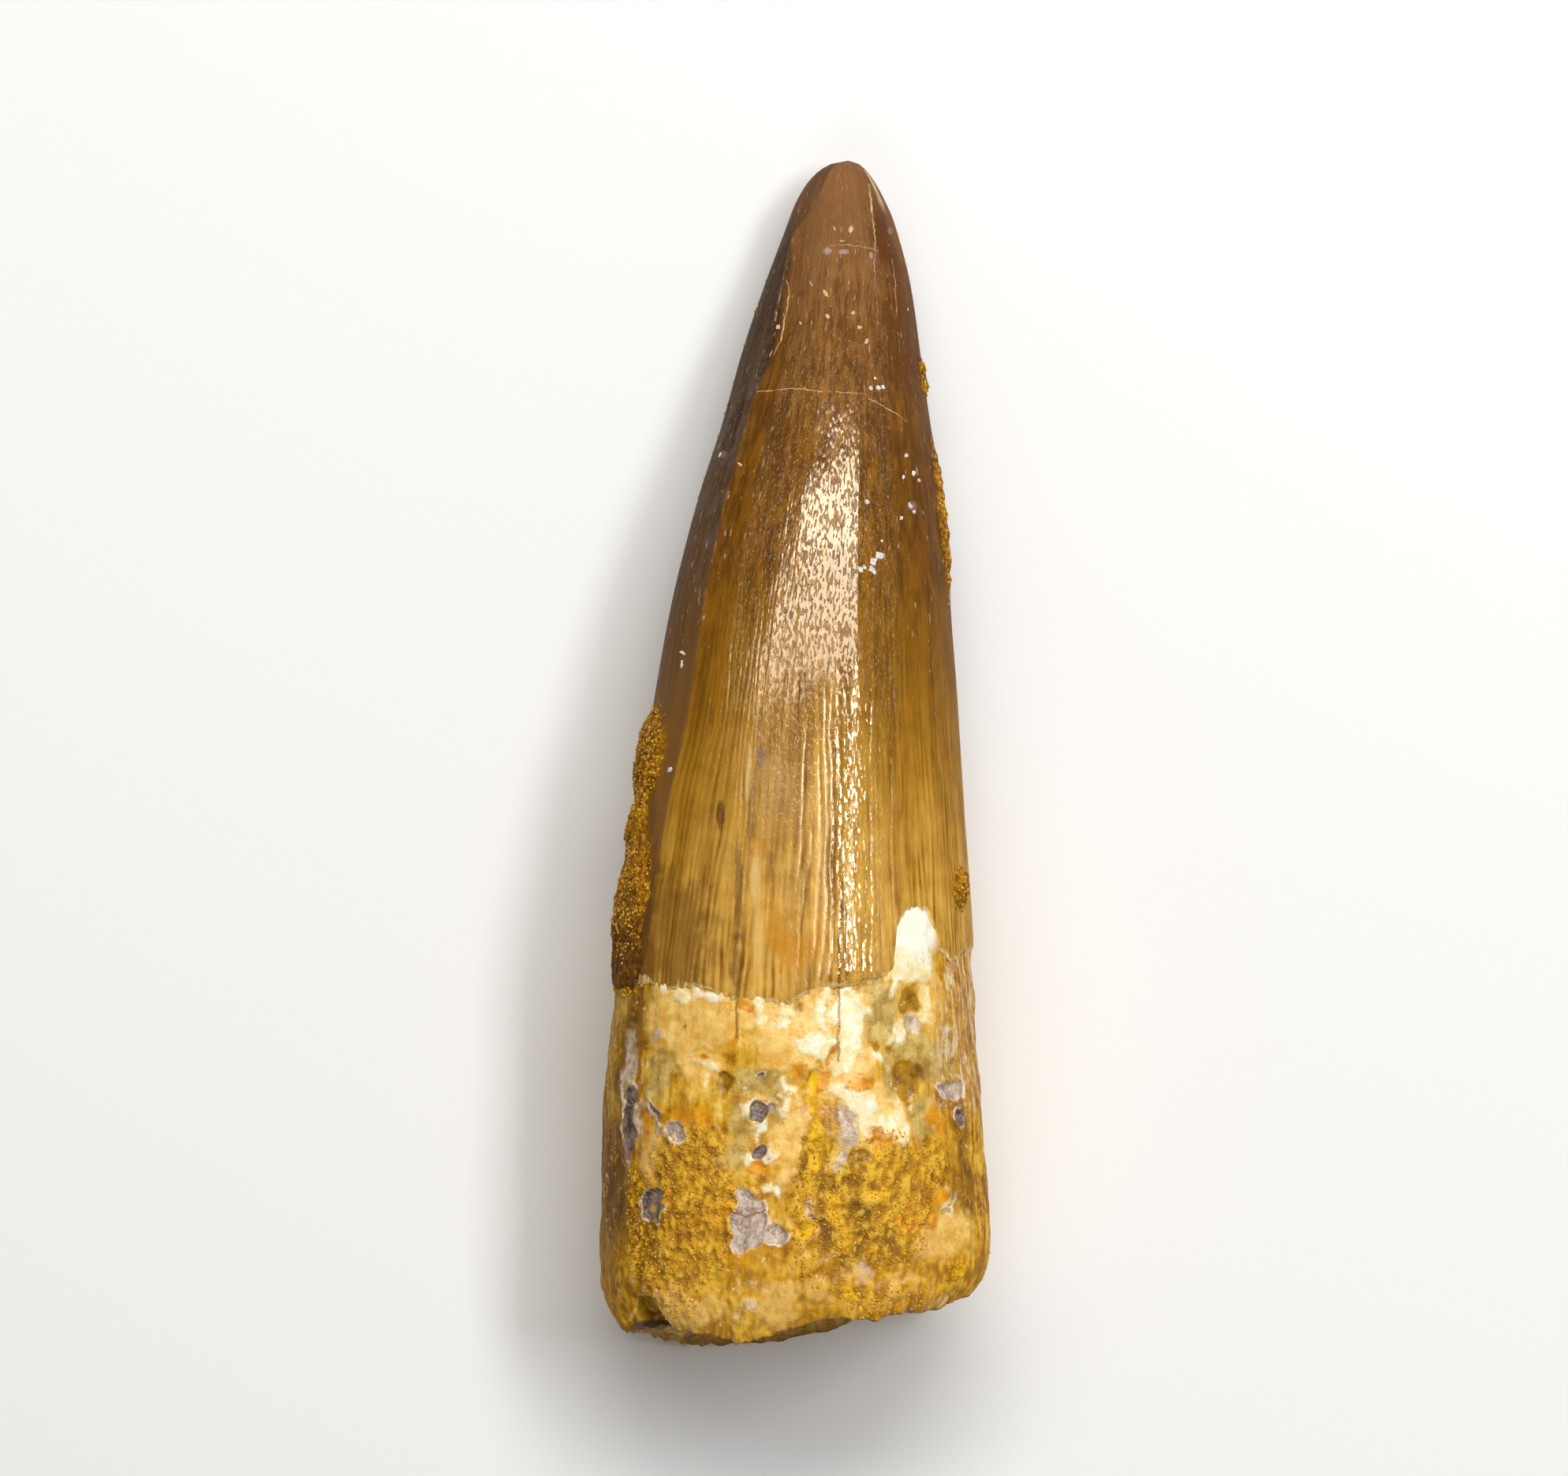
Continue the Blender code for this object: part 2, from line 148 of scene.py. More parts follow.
# angle, height, half width in degrees, half length, thickness as a share
CRUST_PATCHES = (
    (170, 31.8, 16, 3.2, 1), (168, 28.2, 12, 2.8, 1), (164, 24.5, 17, 4, 1.2),
    (160, 21.4, 16, 2.6, 0.9), (2, 44.5, 10, 5.4, 0.45), (0, 52.2, 9, 1.2, 0.5), (17, 25, 10, 1.3, 0.7),
    (124, 9.5, 20, 4.6, 0.6), (128, 4.6, 16, 2.6, 0.5), (62, 9, 20, 4.4, 0.7), (86, 7.6, 9, 4, 0.6),
    (60, 3.4, 22, 1.6, 0.4), (222, 9, 24, 5, 0.8), (305, 11, 22, 4, 0.7), (240, 27, 14, 5, 0.5),
    (300, 33, 12, 4.5, 0.5),
)

CROWN_RINGS = 124
TIP_CROWDING = 1.12  # the rings stand closer at the tip
GRAIN_RADIUS = 9.5  # patterns along the tooth are spaced as on a tooth this wide
RIDGE_COUNTS = (152, 132)
RIDGE_HEIGHT = 0.032


def smooth_curve(knots, values, at):
    """A smooth curve through the values at the knots, read at any places."""
    slopes = np.gradient(values, knots)
    left = np.clip(np.searchsorted(knots, at, side="right") - 1, 0, len(knots) - 2)
    span = knots[left + 1] - knots[left]
    t = (at - knots[left]) / span
    return (
        values[left] * (2 * t**3 - 3 * t**2 + 1)
        + slopes[left] * span * (t**3 - 2 * t**2 + t)
        + values[left + 1] * (3 * t**2 - 2 * t**3)
        + slopes[left + 1] * span * (t**3 - t**2)
    )


def smooth_step(low, high, value):
    """0 up to low, 1 from high on, and smooth between them; with the higher limit first it falls instead."""
    t = np.clip((value - low) / (high - low), 0, 1)
    return t * t * (3 - 2 * t)


def bump(distance, half_width):
    """1 in the middle, falling smoothly to 0 at the half width and beyond."""
    share = np.clip(1 - (distance / half_width) ** 2, 0, 1)
    return share**2 * (3 - 2 * share)


def turn_between(angle, other):
    """The signed turn from one angle to another, in degrees."""
    return (np.asarray(angle) - other + 180) % 360 - 180


def noise_at(x, y, z, size, seed, octaves=1):
    """Smooth noise from about -1 to 1 at points in millimetres, with features about size across."""
    shape = np.broadcast(x, y, z).shape
    columns = [np.broadcast_to(a, shape).ravel() / size for a in (x, y, z)]
    points = zip((columns[0] + seed).tolist(), columns[1].tolist(), columns[2].tolist())
    if octaves == 1:
        values = [noise.noise(p) for p in points]
    else:
        values = [noise.fractal(p, 1, 2, octaves) for p in points]
    return np.array(values).reshape(shape)


def section(columns, height):
    """The smooth section at each height: x and z of its points, and x and z of their outward directions."""
    from_tip = TOOTH_LENGTH - height
    down = np.sqrt(np.clip(from_tip, 0, None))
    knots = np.sqrt(STATIONS[:, 0])
    left, right, bottom, top = (smooth_curve(knots, STATIONS[:, i], down) for i in range(1, 5))
    drift = smooth_curve(*LEFT_CARINA_DRIFT.T, from_tip) - LEFT_CARINA
    angle = columns + drift * np.exp(-((turn_between(columns, LEFT_CARINA) / DRIFT_SPREAD) ** 2))
    across, up = np.cos(np.radians(angle)), np.sin(np.radians(angle))
    power = np.where(up > 0, TOP_POWER, UNDERSIDE_POWER)
    across = np.sign(across) * np.abs(across) ** (2 / power)
    up = np.sign(up) * np.abs(up) ** (2 / power)
    half_width, half_depth = (right - left) / 2, (top - bottom) / 2
    outward_x, outward_z = half_depth * across, half_width * up
    length = np.hypot(outward_x, outward_z) + 1e-9
    x = (left + right) / 2 + half_width * across
    z = (bottom + top) / 2 + half_depth * up
    return x, z, outward_x / length, outward_z / length


def enamel_edge(columns):
    """Height of the enamel's ragged lower edge at each column."""
    around = np.cos(np.radians(columns)), np.sin(np.radians(columns)), 0
    edge = np.interp(columns % 360, *ENAMEL_EDGE.T)
    edge = edge + 0.15 * noise_at(*around, 0.12, 41) + 0.16 * noise_at(*around, 0.04, 43, 3)
    return edge + 0.05 * noise_at(*around, 0.011, 45)


def crust_cover(angle, height):
    """How much crust lies at each place, from 0 to 1."""
    cover = np.zeros(np.broadcast(angle, height).shape)
    for middle, level, half_turn, half_length, share in CRUST_PATCHES:
        away = np.hypot(turn_between(angle, middle) / half_turn, (height - level) / half_length)
        cover = np.maximum(cover, share * bump(away, 1))
    return cover


def main_lift(columns, height, x, z):
    """How far the cutting edges, broad waves and crust stand off the section, and the crust's cover."""
    from_tip = TOOTH_LENGTH - height
    on_crown = np.clip(height - np.interp(columns % 360, *ENAMEL_EDGE.T), -0.5, 0.5) + 0.5
    left = np.exp(-np.abs(turn_between(columns, LEFT_CARINA)) / CARINA_SPREAD)
    right = np.exp(-np.abs(turn_between(columns, RIGHT_CARINA)) / CARINA_SPREAD)
    edges = CARINA_HEIGHT * (left + right) * (0.25 + 0.75 * on_crown) * np.clip(from_tip / 3, 0, 1)
    off_keel = np.hypot(turn_between(columns, KEEL_ANGLE), KEEL_ROUNDING)
    keel = KEEL_HEIGHT * np.exp(-off_keel / KEEL_SPREAD) * on_crown * np.clip(from_tip / 6 - 1, 0, 1)
    waves = 0.1 * noise_at(x, height, z, 7, 3) + (1 - on_crown) * 0.22 * noise_at(x, height, z, 3.2, 5)
    cover = crust_cover(columns, height)
    crust = CRUST_THICKNESS * cover * (0.9 + 0.55 * noise_at(x, height, z, 1.6, 11))
    return edges + keel + waves * np.clip(from_tip / 4, 0, 1) + crust, cover


def grain_points(columns, height, share=1):
    """Where each place is on an even cylinder, for patterns that run along the tooth: x, height and z."""
    turn = np.radians(columns)
    radius = GRAIN_RADIUS * share
    return np.broadcast_arrays(radius * np.cos(turn), height, radius * np.sin(turn))


def grain_noise(columns, height, stretch, size, seed, octaves=1):
    """Noise in lines along the tooth, so many times longer than they are wide."""
    x, along, z = grain_points(columns, height)
    return noise_at(x, along / stretch, z, size, seed, octaves)


def ridge_gaps(columns, height):
    """The gaps between the enamel's fine ridges: 0 on a ridge, about 1 in the middle of a gap."""
    gaps = []
    for count, seed in zip(RIDGE_COUNTS, (61, 63)):
        warp = 0.95 * grain_noise(columns, height, 3, 2.2, seed)
        warp = warp + 0.45 * grain_noise(columns, height, 3, 0.7, seed + 0.5)
        gaps.append((0.5 + 0.5 * np.cos(2 * np.pi * (columns / 360 * count + warp))) ** 1.2)
    choice = smooth_step(-0.08, 0.08, grain_noise(columns, height, 5, 3.6, 65))
    strength = 0.55 + 0.6 * grain_noise(columns, height, 10, 1.3, 66)
    strength = strength + 0.9 * grain_noise(columns, height, 9, 0.5, 68)
    strength = np.clip(strength, 0, 1.1) * (1 + 0.5 * grain_noise(columns, height, 2.2, 0.5, 69))
    return (gaps[0] * (1 - choice) + gaps[1] * choice) * strength


def crown_ring(columns, height):
    """Points of the crown's outside at one height for each column, and what its finish reads there."""
    x, z, outward_x, outward_z = section(columns, height)
    here = x, height, z
    from_tip = TOOTH_LENGTH - height
    lifted, cover = main_lift(columns, height, x, z)
    band = turn_between(columns, LEFT_CARINA)
    smooth_band = smooth_step(0, 5, band) * (1 - 0.7 * smooth_step(25, 50, band))
    on_keel = 0.85 * bump(turn_between(columns, KEEL_ANGLE), 7)
    gap = ridge_gaps(columns, height) * (1 - 0.85 * smooth_band) * (1 - on_keel)
    ridged = smooth_step(19, 33, from_tip)
    flutes = 0.05 * grain_noise(columns, height, 9, 2.4, 67, 2) * smooth_step(2, 12, from_tip)
    sandy = smooth_step(0.08, 0.3, cover)
    grit = 0.2 * sandy * noise_at(*here, 0.4, 71, 2)
    off = lifted + (1 - sandy) * (flutes - RIDGE_HEIGHT * (0.08 + 0.92 * ridged) * gap) + grit
    to_edge = height - enamel_edge(columns)
    crumbling = 0.5 + 0.9 * noise_at(*here, 0.5, 75, 2)
    off = off - 0.09 * smooth_step(0.45, 0, to_edge) * np.clip(crumbling, 0.25, 1)
    points = np.stack([x + off * outward_x, height, z + off * outward_z], axis=-1)
    near_tip = smooth_step(3, 5, from_tip) * smooth_step(22, 19, from_tip)
    crumbs = np.maximum(cover, 0.17 * bump(turn_between(columns, 180), 9) * near_tip)
    crumbs = crumbs * smooth_step(0.1, 0.3, z) * smooth_step(20.6, 22.8, height)
    crumbs = crumbs * smooth_step(-0.45, 0, noise_at(*here, 0.9, 77, 2))
    side = smooth_step(0.48, 0.76, np.abs(np.cos(np.radians(columns))))
    marks = {"gap": gap, "band": band, "side": side, "sandy": cover, "crumbs": crumbs, "to_edge": to_edge}
    return points, marks


def grain_vector(columns, height, share=1):
    """The same even cylinder as a vector for the finishes, with the height last."""
    x, along, z = grain_points(columns, height, share)
    return np.stack([x, z, along], axis=-1)


def uneven_turn(above, below):
    """Angles round the tooth: so many over its upper half, and fewer over the half that faces the table."""
    upper = np.arange(above) * 180 / above
    return np.concatenate([upper, 180 + np.arange(below) * 180 / below])


def loft_mesh(name, rings, first_pole, last_pole):
    """A closed mesh on the table, through rings of points in millimetres with a point at each end."""
    count, around = rings.shape[:2]
    points = np.concatenate([rings.reshape(-1, 3), [first_pole, last_pole]])
    points[:, 2] = np.maximum(points[:, 2], 0)
    index = np.arange(count * around).reshape(count, around)
    beside = np.roll(index, -1, axis=1)
    quads = np.stack([index[:-1], beside[:-1], beside[1:], index[1:]], axis=-1).reshape(-1, 4)
    first, last = count * around, count * around + 1
    fans = [(first, b, a) for a, b in zip(index[0].tolist(), beside[0].tolist())]
    fans += [(last, a, b) for a, b in zip(index[-1].tolist(), beside[-1].tolist())]
    mesh = bpy.data.meshes.new(name)
    mesh.from_pydata((points * MM).tolist(), [], quads.tolist() + fans)
    mesh.shade_smooth()
    return mesh


def store(mesh, name, values):
    """Keeps a number or a vector for each point of a lofted mesh; its ends take their ring's mean."""
    width = 3 if values.ndim == 3 else 1
    ends = [values[0].mean(axis=0), values[-1].mean(axis=0)]
    flat = np.concatenate([values.reshape(-1, width), np.reshape(ends, (2, width))])
    kind, field = ("FLOAT_VECTOR", "vector") if width == 3 else ("FLOAT", "value")
    attribute = mesh.attributes.new(name, kind, "POINT")
    attribute.data.foreach_set(field, flat.astype(np.float32).ravel())


def place_piece(mesh, finish):
    """Makes the piece's object, which rides on the tooth's one body."""
    if not mesh.materials:
        mesh.materials.append(finish)
    piece = bpy.data.objects.new(mesh.name, mesh)
    bpy.context.scene.collection.objects.link(piece)
    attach(piece, "root")
    return piece


class Value:
    """A shader socket that can stand in a sum: each operator adds a Math node."""

    def __init__(self, tree, socket=None):
        self.tree = tree
        self.socket = socket

    def node(self, kind, settings, inputs, output=0):
        """Adds any node: its settings are made first, then its sockets are set or linked."""
        added = self.tree.nodes.new("ShaderNode" + kind)
        for name, setting in settings.items():
            if name == "stops":
                for _ in setting[2:]:
                    added.color_ramp.elements.new(1)
                for stop, (place, colour) in zip(added.color_ramp.elements, setting):
                    stop.position = place
                    stop.color = (*colour, 1)
            else:
                setattr(added, name, setting)
        for name, value in inputs.items():
            socket = added.inputs[name]
            if isinstance(value, Value):
                self.tree.links.new(value.socket, socket)
            elif socket.type == "RGBA":
                socket.default_value = (*value, 1)
            else:
                socket.default_value = value
        return Value(self.tree, added.outputs[output])

    def maths(self, operation, *terms):
        """Adds a Math node over the terms."""
        return self.node("Math", {"operation": operation}, dict(enumerate(terms)))

    def __add__(self, other):
        return self.maths("ADD", self, other)

    def __sub__(self, other):
        return self.maths("SUBTRACT", self, other)

    def __mul__(self, other):
        return self.maths("MULTIPLY", self, other)

    def __radd__(self, other):
        return self.maths("ADD", other, self)

    def __rsub__(self, other):
        return self.maths("SUBTRACT", other, self)

    def __rmul__(self, other):
        return self.maths("MULTIPLY", other, self)

    def __abs__(self):
        return self.maths("ABSOLUTE", self)


def attribute(start, name, output=2):
    """A number kept on the mesh, or with output 1 a vector."""
    return start.node("Attribute", {"attribute_name": name}, {}, output)


def part(vector, number):
    """One of a vector's three parts."""
    return vector.node("SeparateXYZ", {}, {0: vector}, number)


def larger(first, second):
    """The larger of two values."""
    return first.maths("MAXIMUM", first, second)


def step(value, low, high):
    """0 up to low, 1 from high on, and smooth between them; with the higher limit first it falls instead."""
    inputs = {"Value": value, "From Min": low, "From Max": high}
    return value.node("MapRange", {"interpolation_type": "SMOOTHSTEP"}, inputs)


def mix(factor, first, second):
    """A colour between two colours."""
    return factor.node("Mix", {"data_type": "RGBA"}, {0: factor, 6: first, 7: second}, 2)


def painted(colour, *coats):
    """A colour under coats of (cover, tint), each laid over the ones before it."""
    for cover, tint in coats:
        colour = mix(cover, colour, tint)
    return colour


def ramp(factor, stops):
    """A colour read from stops of (place, colour)."""
    return factor.node("ValToRGB", {"stops": stops}, {"Fac": factor})


def vector_maths(operation, first, second=(0, 0, 0), output=0):
    """A sum of two vectors; output 1 is for results that are numbers."""
    return first.node("VectorMath", {"operation": operation}, {0: first, 1: second}, output)


def stretched(vector, scales):
    """A vector with each part multiplied."""
    return vector_maths("MULTIPLY", vector, scales)


def cloud(vector, size, detail=2, roughness=0.5, shift=0):
    """Noise from -0.5 to 0.5 in size millimetres, drawn at a vector that is in millimetres."""
    moved = vector_maths("ADD", vector, (shift, shift, shift))
    inputs = {"Vector": moved, "Scale": 1 / size, "Detail": detail, "Roughness": roughness}
    return vector.node("TexNoise", {}, inputs) - 0.5


def grain_cloud(grain, size, stretch, detail=2, shift=0):
    """Noise in lines along the tooth."""
    return cloud(stretched(grain, (1, 1, 1 / stretch)), size, detail, 0.5, shift)


def scales(vector, size, shift):
    """Small rounded cells about size millimetres across: high in their middles, low between them."""
    moved = vector_maths("ADD", vector, (shift, shift, shift))
    inputs = {"Vector": moved, "Scale": 1 / size, "Smoothness": 0.35}
    return 1 - vector.node("TexVoronoi", {"feature": "SMOOTH_F1"}, inputs)


def crack(flat, wobble, start, end, width):
    """1 on a line between two places (x, height) seen from above, thinning out to 0 beside it."""
    run = (end[0] - start[0], end[1] - start[1])
    length = float(np.hypot(*run))
    unit = (run[0] / length, run[1] / length, 0)
    from_start = vector_maths("SUBTRACT", flat, (*start, 0))
    along = vector_maths("DOT_PRODUCT", from_start, unit, 1)
    across = vector_maths("DOT_PRODUCT", from_start, (-unit[1], unit[0], 0), 1)
    past_end = larger(abs(along - length / 2) - length / 2, 0)
    return step(abs(across + wobble) + past_end, width * 0.6, width * 0.15)


def blob(flat, wobble, place, width, length):
    """1 inside an oval at a place (x, height) seen from above, and 0 outside."""
    off = vector_maths("SUBTRACT", flat, (*place, 0))
    off = stretched(off, (2 / width, 2 / length, 0))
    return step(vector_maths("LENGTH", off, output=1) + wobble, 1.2, 0.6)


def new_finish(name):
    """A material, its shader and a value to start its expressions from."""
    finish = bpy.data.materials.new(name)
    finish.use_nodes = True
    return finish, finish.node_tree.nodes["Principled BSDF"], Value(finish.node_tree)


def connect(shader, sockets):
    """Links values to the shader's sockets, or sets numbers and colours there."""
    for name, value in sockets.items():
        if isinstance(value, Value):
            value.tree.links.new(value.socket, shader.inputs[name])
        else:
            shader.inputs[name].default_value = value


def bumped(relief, strength=1):
    """The surface's slope where relief in millimetres stands on it."""
    return relief.node("Bump", {}, {"Strength": strength, "Distance": MM, "Height": relief})


def duller(shader, worn, colour, shape):
    """Fades a glossy shader into a dull one of the same colour where the surface is worn."""
    dull = {"Base Color": colour, "Normal": shape, "Roughness": 0.6, "Specular IOR Level": 0.1}
    glossy = Value(worn.tree, shader.outputs[0])
    both = worn.node("MixShader", {}, {0: worn, 1: glossy, 2: worn.node("BsdfPrincipled", {}, dull)})
    worn.tree.links.new(both.socket, worn.tree.nodes["Material Output"].inputs["Surface"])


def millimetres(start):
    """The place on the piece, in millimetres."""
    return stretched(start.node("TexCoord", {}, {}, 3), (1 / MM, 1 / MM, 1 / MM))


def seen_from_above(place):
    """The place as x and height above the break's lowest point, with nothing upwards."""
    return vector_maths("ADD", stretched(place, (1, 1, 0)), (0, TOOTH_LENGTH / 2, 0))


# Pale hairline cracks in the enamel, seen from above as x and height: from, to, width, strength
PALE_CRACKS = (
    ((1.75, 59.2), (3.2, 59.1), 0.05, 0.6), ((3.2, 59.1), (4.4, 58.95), 0.05, 0.6),
    ((3.92, 62.6), (4.07, 61.1), 0.13, 1), ((4.07, 61.1), (4.22, 59), 0.07, 0.7),
    ((4.22, 59), (4.2, 57.5), 0.05, 0.6), ((4.2, 57.5), (4.3, 55.5), 0.04, 0.4),
    ((-0.5, 57.3), (-0.36, 56.5), 0.06, 0.7), ((-0.36, 56.5), (-0.48, 55.6), 0.09, 0.9),
    ((-0.48, 55.6), (-0.84, 53.95), 0.09, 0.9), ((-0.84, 53.95), (-1.2, 53.2), 0.06, 0.7),
    ((5.1, 58.5), (5.3, 56.95), 0.05, 0.6), ((5.3, 56.95), (5.4, 55.4), 0.05, 0.5),
    ((-2.1, 51.2), (-0.4, 51.35), 0.06, 0.8), ((-0.4, 51.35), (1.4, 51.2), 0.06, 0.8),
    ((2.1, 51.15), (3.6, 51), 0.05, 0.6), ((3.8, 50.8), (5.9, 49.7), 0.06, 0.8),
)
# The dark crack that runs up from the root beside the keel
DARK_CRACKS = (
    ((2.15, 19.6), (2.2, 22.4), 0.2), ((2.2, 22.4), (2.35, 25.4), 0.13),
)
# Stains in the enamel and shade painted on its right facet, seen from above, each group painted over
# the ones before it: a colour, then for each stain x, height, width, length and strength
DEEP_BROWN = (0.1, 0.035, 0.004)
DEEP_AMBER_AND_SHADE = (0.105, 0.032, 0.001)
DEEP_PURPLE = (0.1, 0.03, 0.022)
LAVENDER = (0.5, 0.36, 0.35)
OCHRE = (0.6, 0.245, 0.004)
PALE_TAN = (0.78, 0.52, 0.18)
GREY_PURPLE = (0.16, 0.082, 0.05)
ENAMEL_STAINS = (
    (DEEP_BROWN, (
        (-3.95, 29, 0.45, 1.9, 0.8), (3.45, 47, 0.6, 3, 0.55), (-2.35, 29, 0.5, 4.2, 0.4),
        (-3, 25, 0.5, 5.4, 0.62), (-3.1, 20.9, 0.7, 3.6, 0.55), (-1.4, 26.3, 0.5, 1.6, 0.6),
        (-4.4, 33.8, 0.3, 1.4, 0.4),
    )),
    (DEEP_AMBER_AND_SHADE, (
        # the first four, on the right facet, are painted shade on the side turned from the light; the last
        # is an amber stain
        (5, 60.4, 2.1, 7, 0.85), (5.9, 54.5, 2.6, 9, 0.65), (6.6, 46, 2.2, 9, 0.35),
        (4.6, 48.6, 1.4, 4, 0.45), (-1, 49, 1.3, 4.6, 0.4),
    )),
    (DEEP_BROWN, ((-6.3, 22.5, 4.2, 7, 0.46), (-8, 26, 1.4, 14, 0.45))),
    (DEEP_PURPLE, ((4.9, 61, 0.8, 1.8, 0.75),)),
    (DEEP_BROWN, ((0.22, 42.7, 0.36, 0.32, 0.85),)),
    (LAVENDER, (
        (1.69, 58.85, 0.6, 0.42, 0.75), (2.5, 58.8, 0.5, 0.28, 0.65), (4, 58.6, 0.26, 0.45, 0.65),
        (5.05, 60.1, 0.25, 0.45, 0.6), (-3.9, 47.9, 0.5, 0.4, 0.25), (6.1, 45.1, 0.6, 0.6, 0.25),
    )),
    (OCHRE, (
        (-1, 22.9, 1.2, 3, 0.7), (-0.3, 21.8, 1.8, 2.4, 0.7), (1.2, 22.2, 1.2, 2, 0.5),
        (-2.1, 27.3, 0.6, 0.9, 0.8), (-1.5, 25.9, 0.4, 3.4, 0.45),
    )),
    (PALE_TAN, ((-2.15, 25.6, 0.5, 3, 0.75), (-2, 22.6, 0.6, 3.4, 0.5), (-2.5, 31.2, 0.4, 3.2, 0.45))),
    (GREY_PURPLE, ((-1.85, 31.9, 0.65, 1.3, 0.75), (2.45, 23.9, 0.3, 0.8, 0.6))),
)
# Colours down the crown, as shares of this length from the tip: on its ridges, in the gaps between them, on
# the smooth band beyond its left cutting edge, and those of the crust
RAMP_LENGTH = 45
ENAMEL_LIGHT = (
    (0, (0.31, 0.14, 0.05)), (0.12, (0.3, 0.135, 0.04)), (0.3, (0.235, 0.094, 0.01)),
    (0.45, (0.245, 0.1, 0.001)), (0.58, (0.34, 0.155, 0.003)), (0.72, (0.56, 0.288, 0.024)),
    (0.88, (0.83, 0.47, 0.08)), (1, (0.88, 0.5, 0.092)),
)
ENAMEL_DARK = (
    (0, (0.2, 0.08, 0.026)), (0.12, (0.15, 0.056, 0.01)), (0.3, (0.1, 0.035, 0.001)),
    (0.45, (0.1, 0.034, 0)), (0.58, (0.14, 0.053, 0)), (0.72, (0.21, 0.085, 0)),
    (0.88, (0.29, 0.125, 0.002)), (1, (0.31, 0.135, 0.003)),
)
BAND_COLOURS = (
    (0, (0.03, 0.015, 0.006)), (0.3, (0.018, 0.008, 0.003)), (0.5, (0.078, 0.032, 0.004)),
    (0.75, (0.26, 0.098, 0.004)), (1, (0.27, 0.11, 0.004)),
)
SAND_COLOURS = (
    (0.3, (0.06, 0.02, 0.001)), (0.42, (0.24, 0.09, 0.001)), (0.56, (0.43, 0.19, 0.003)),
    (0.72, (0.68, 0.39, 0.04)),
)


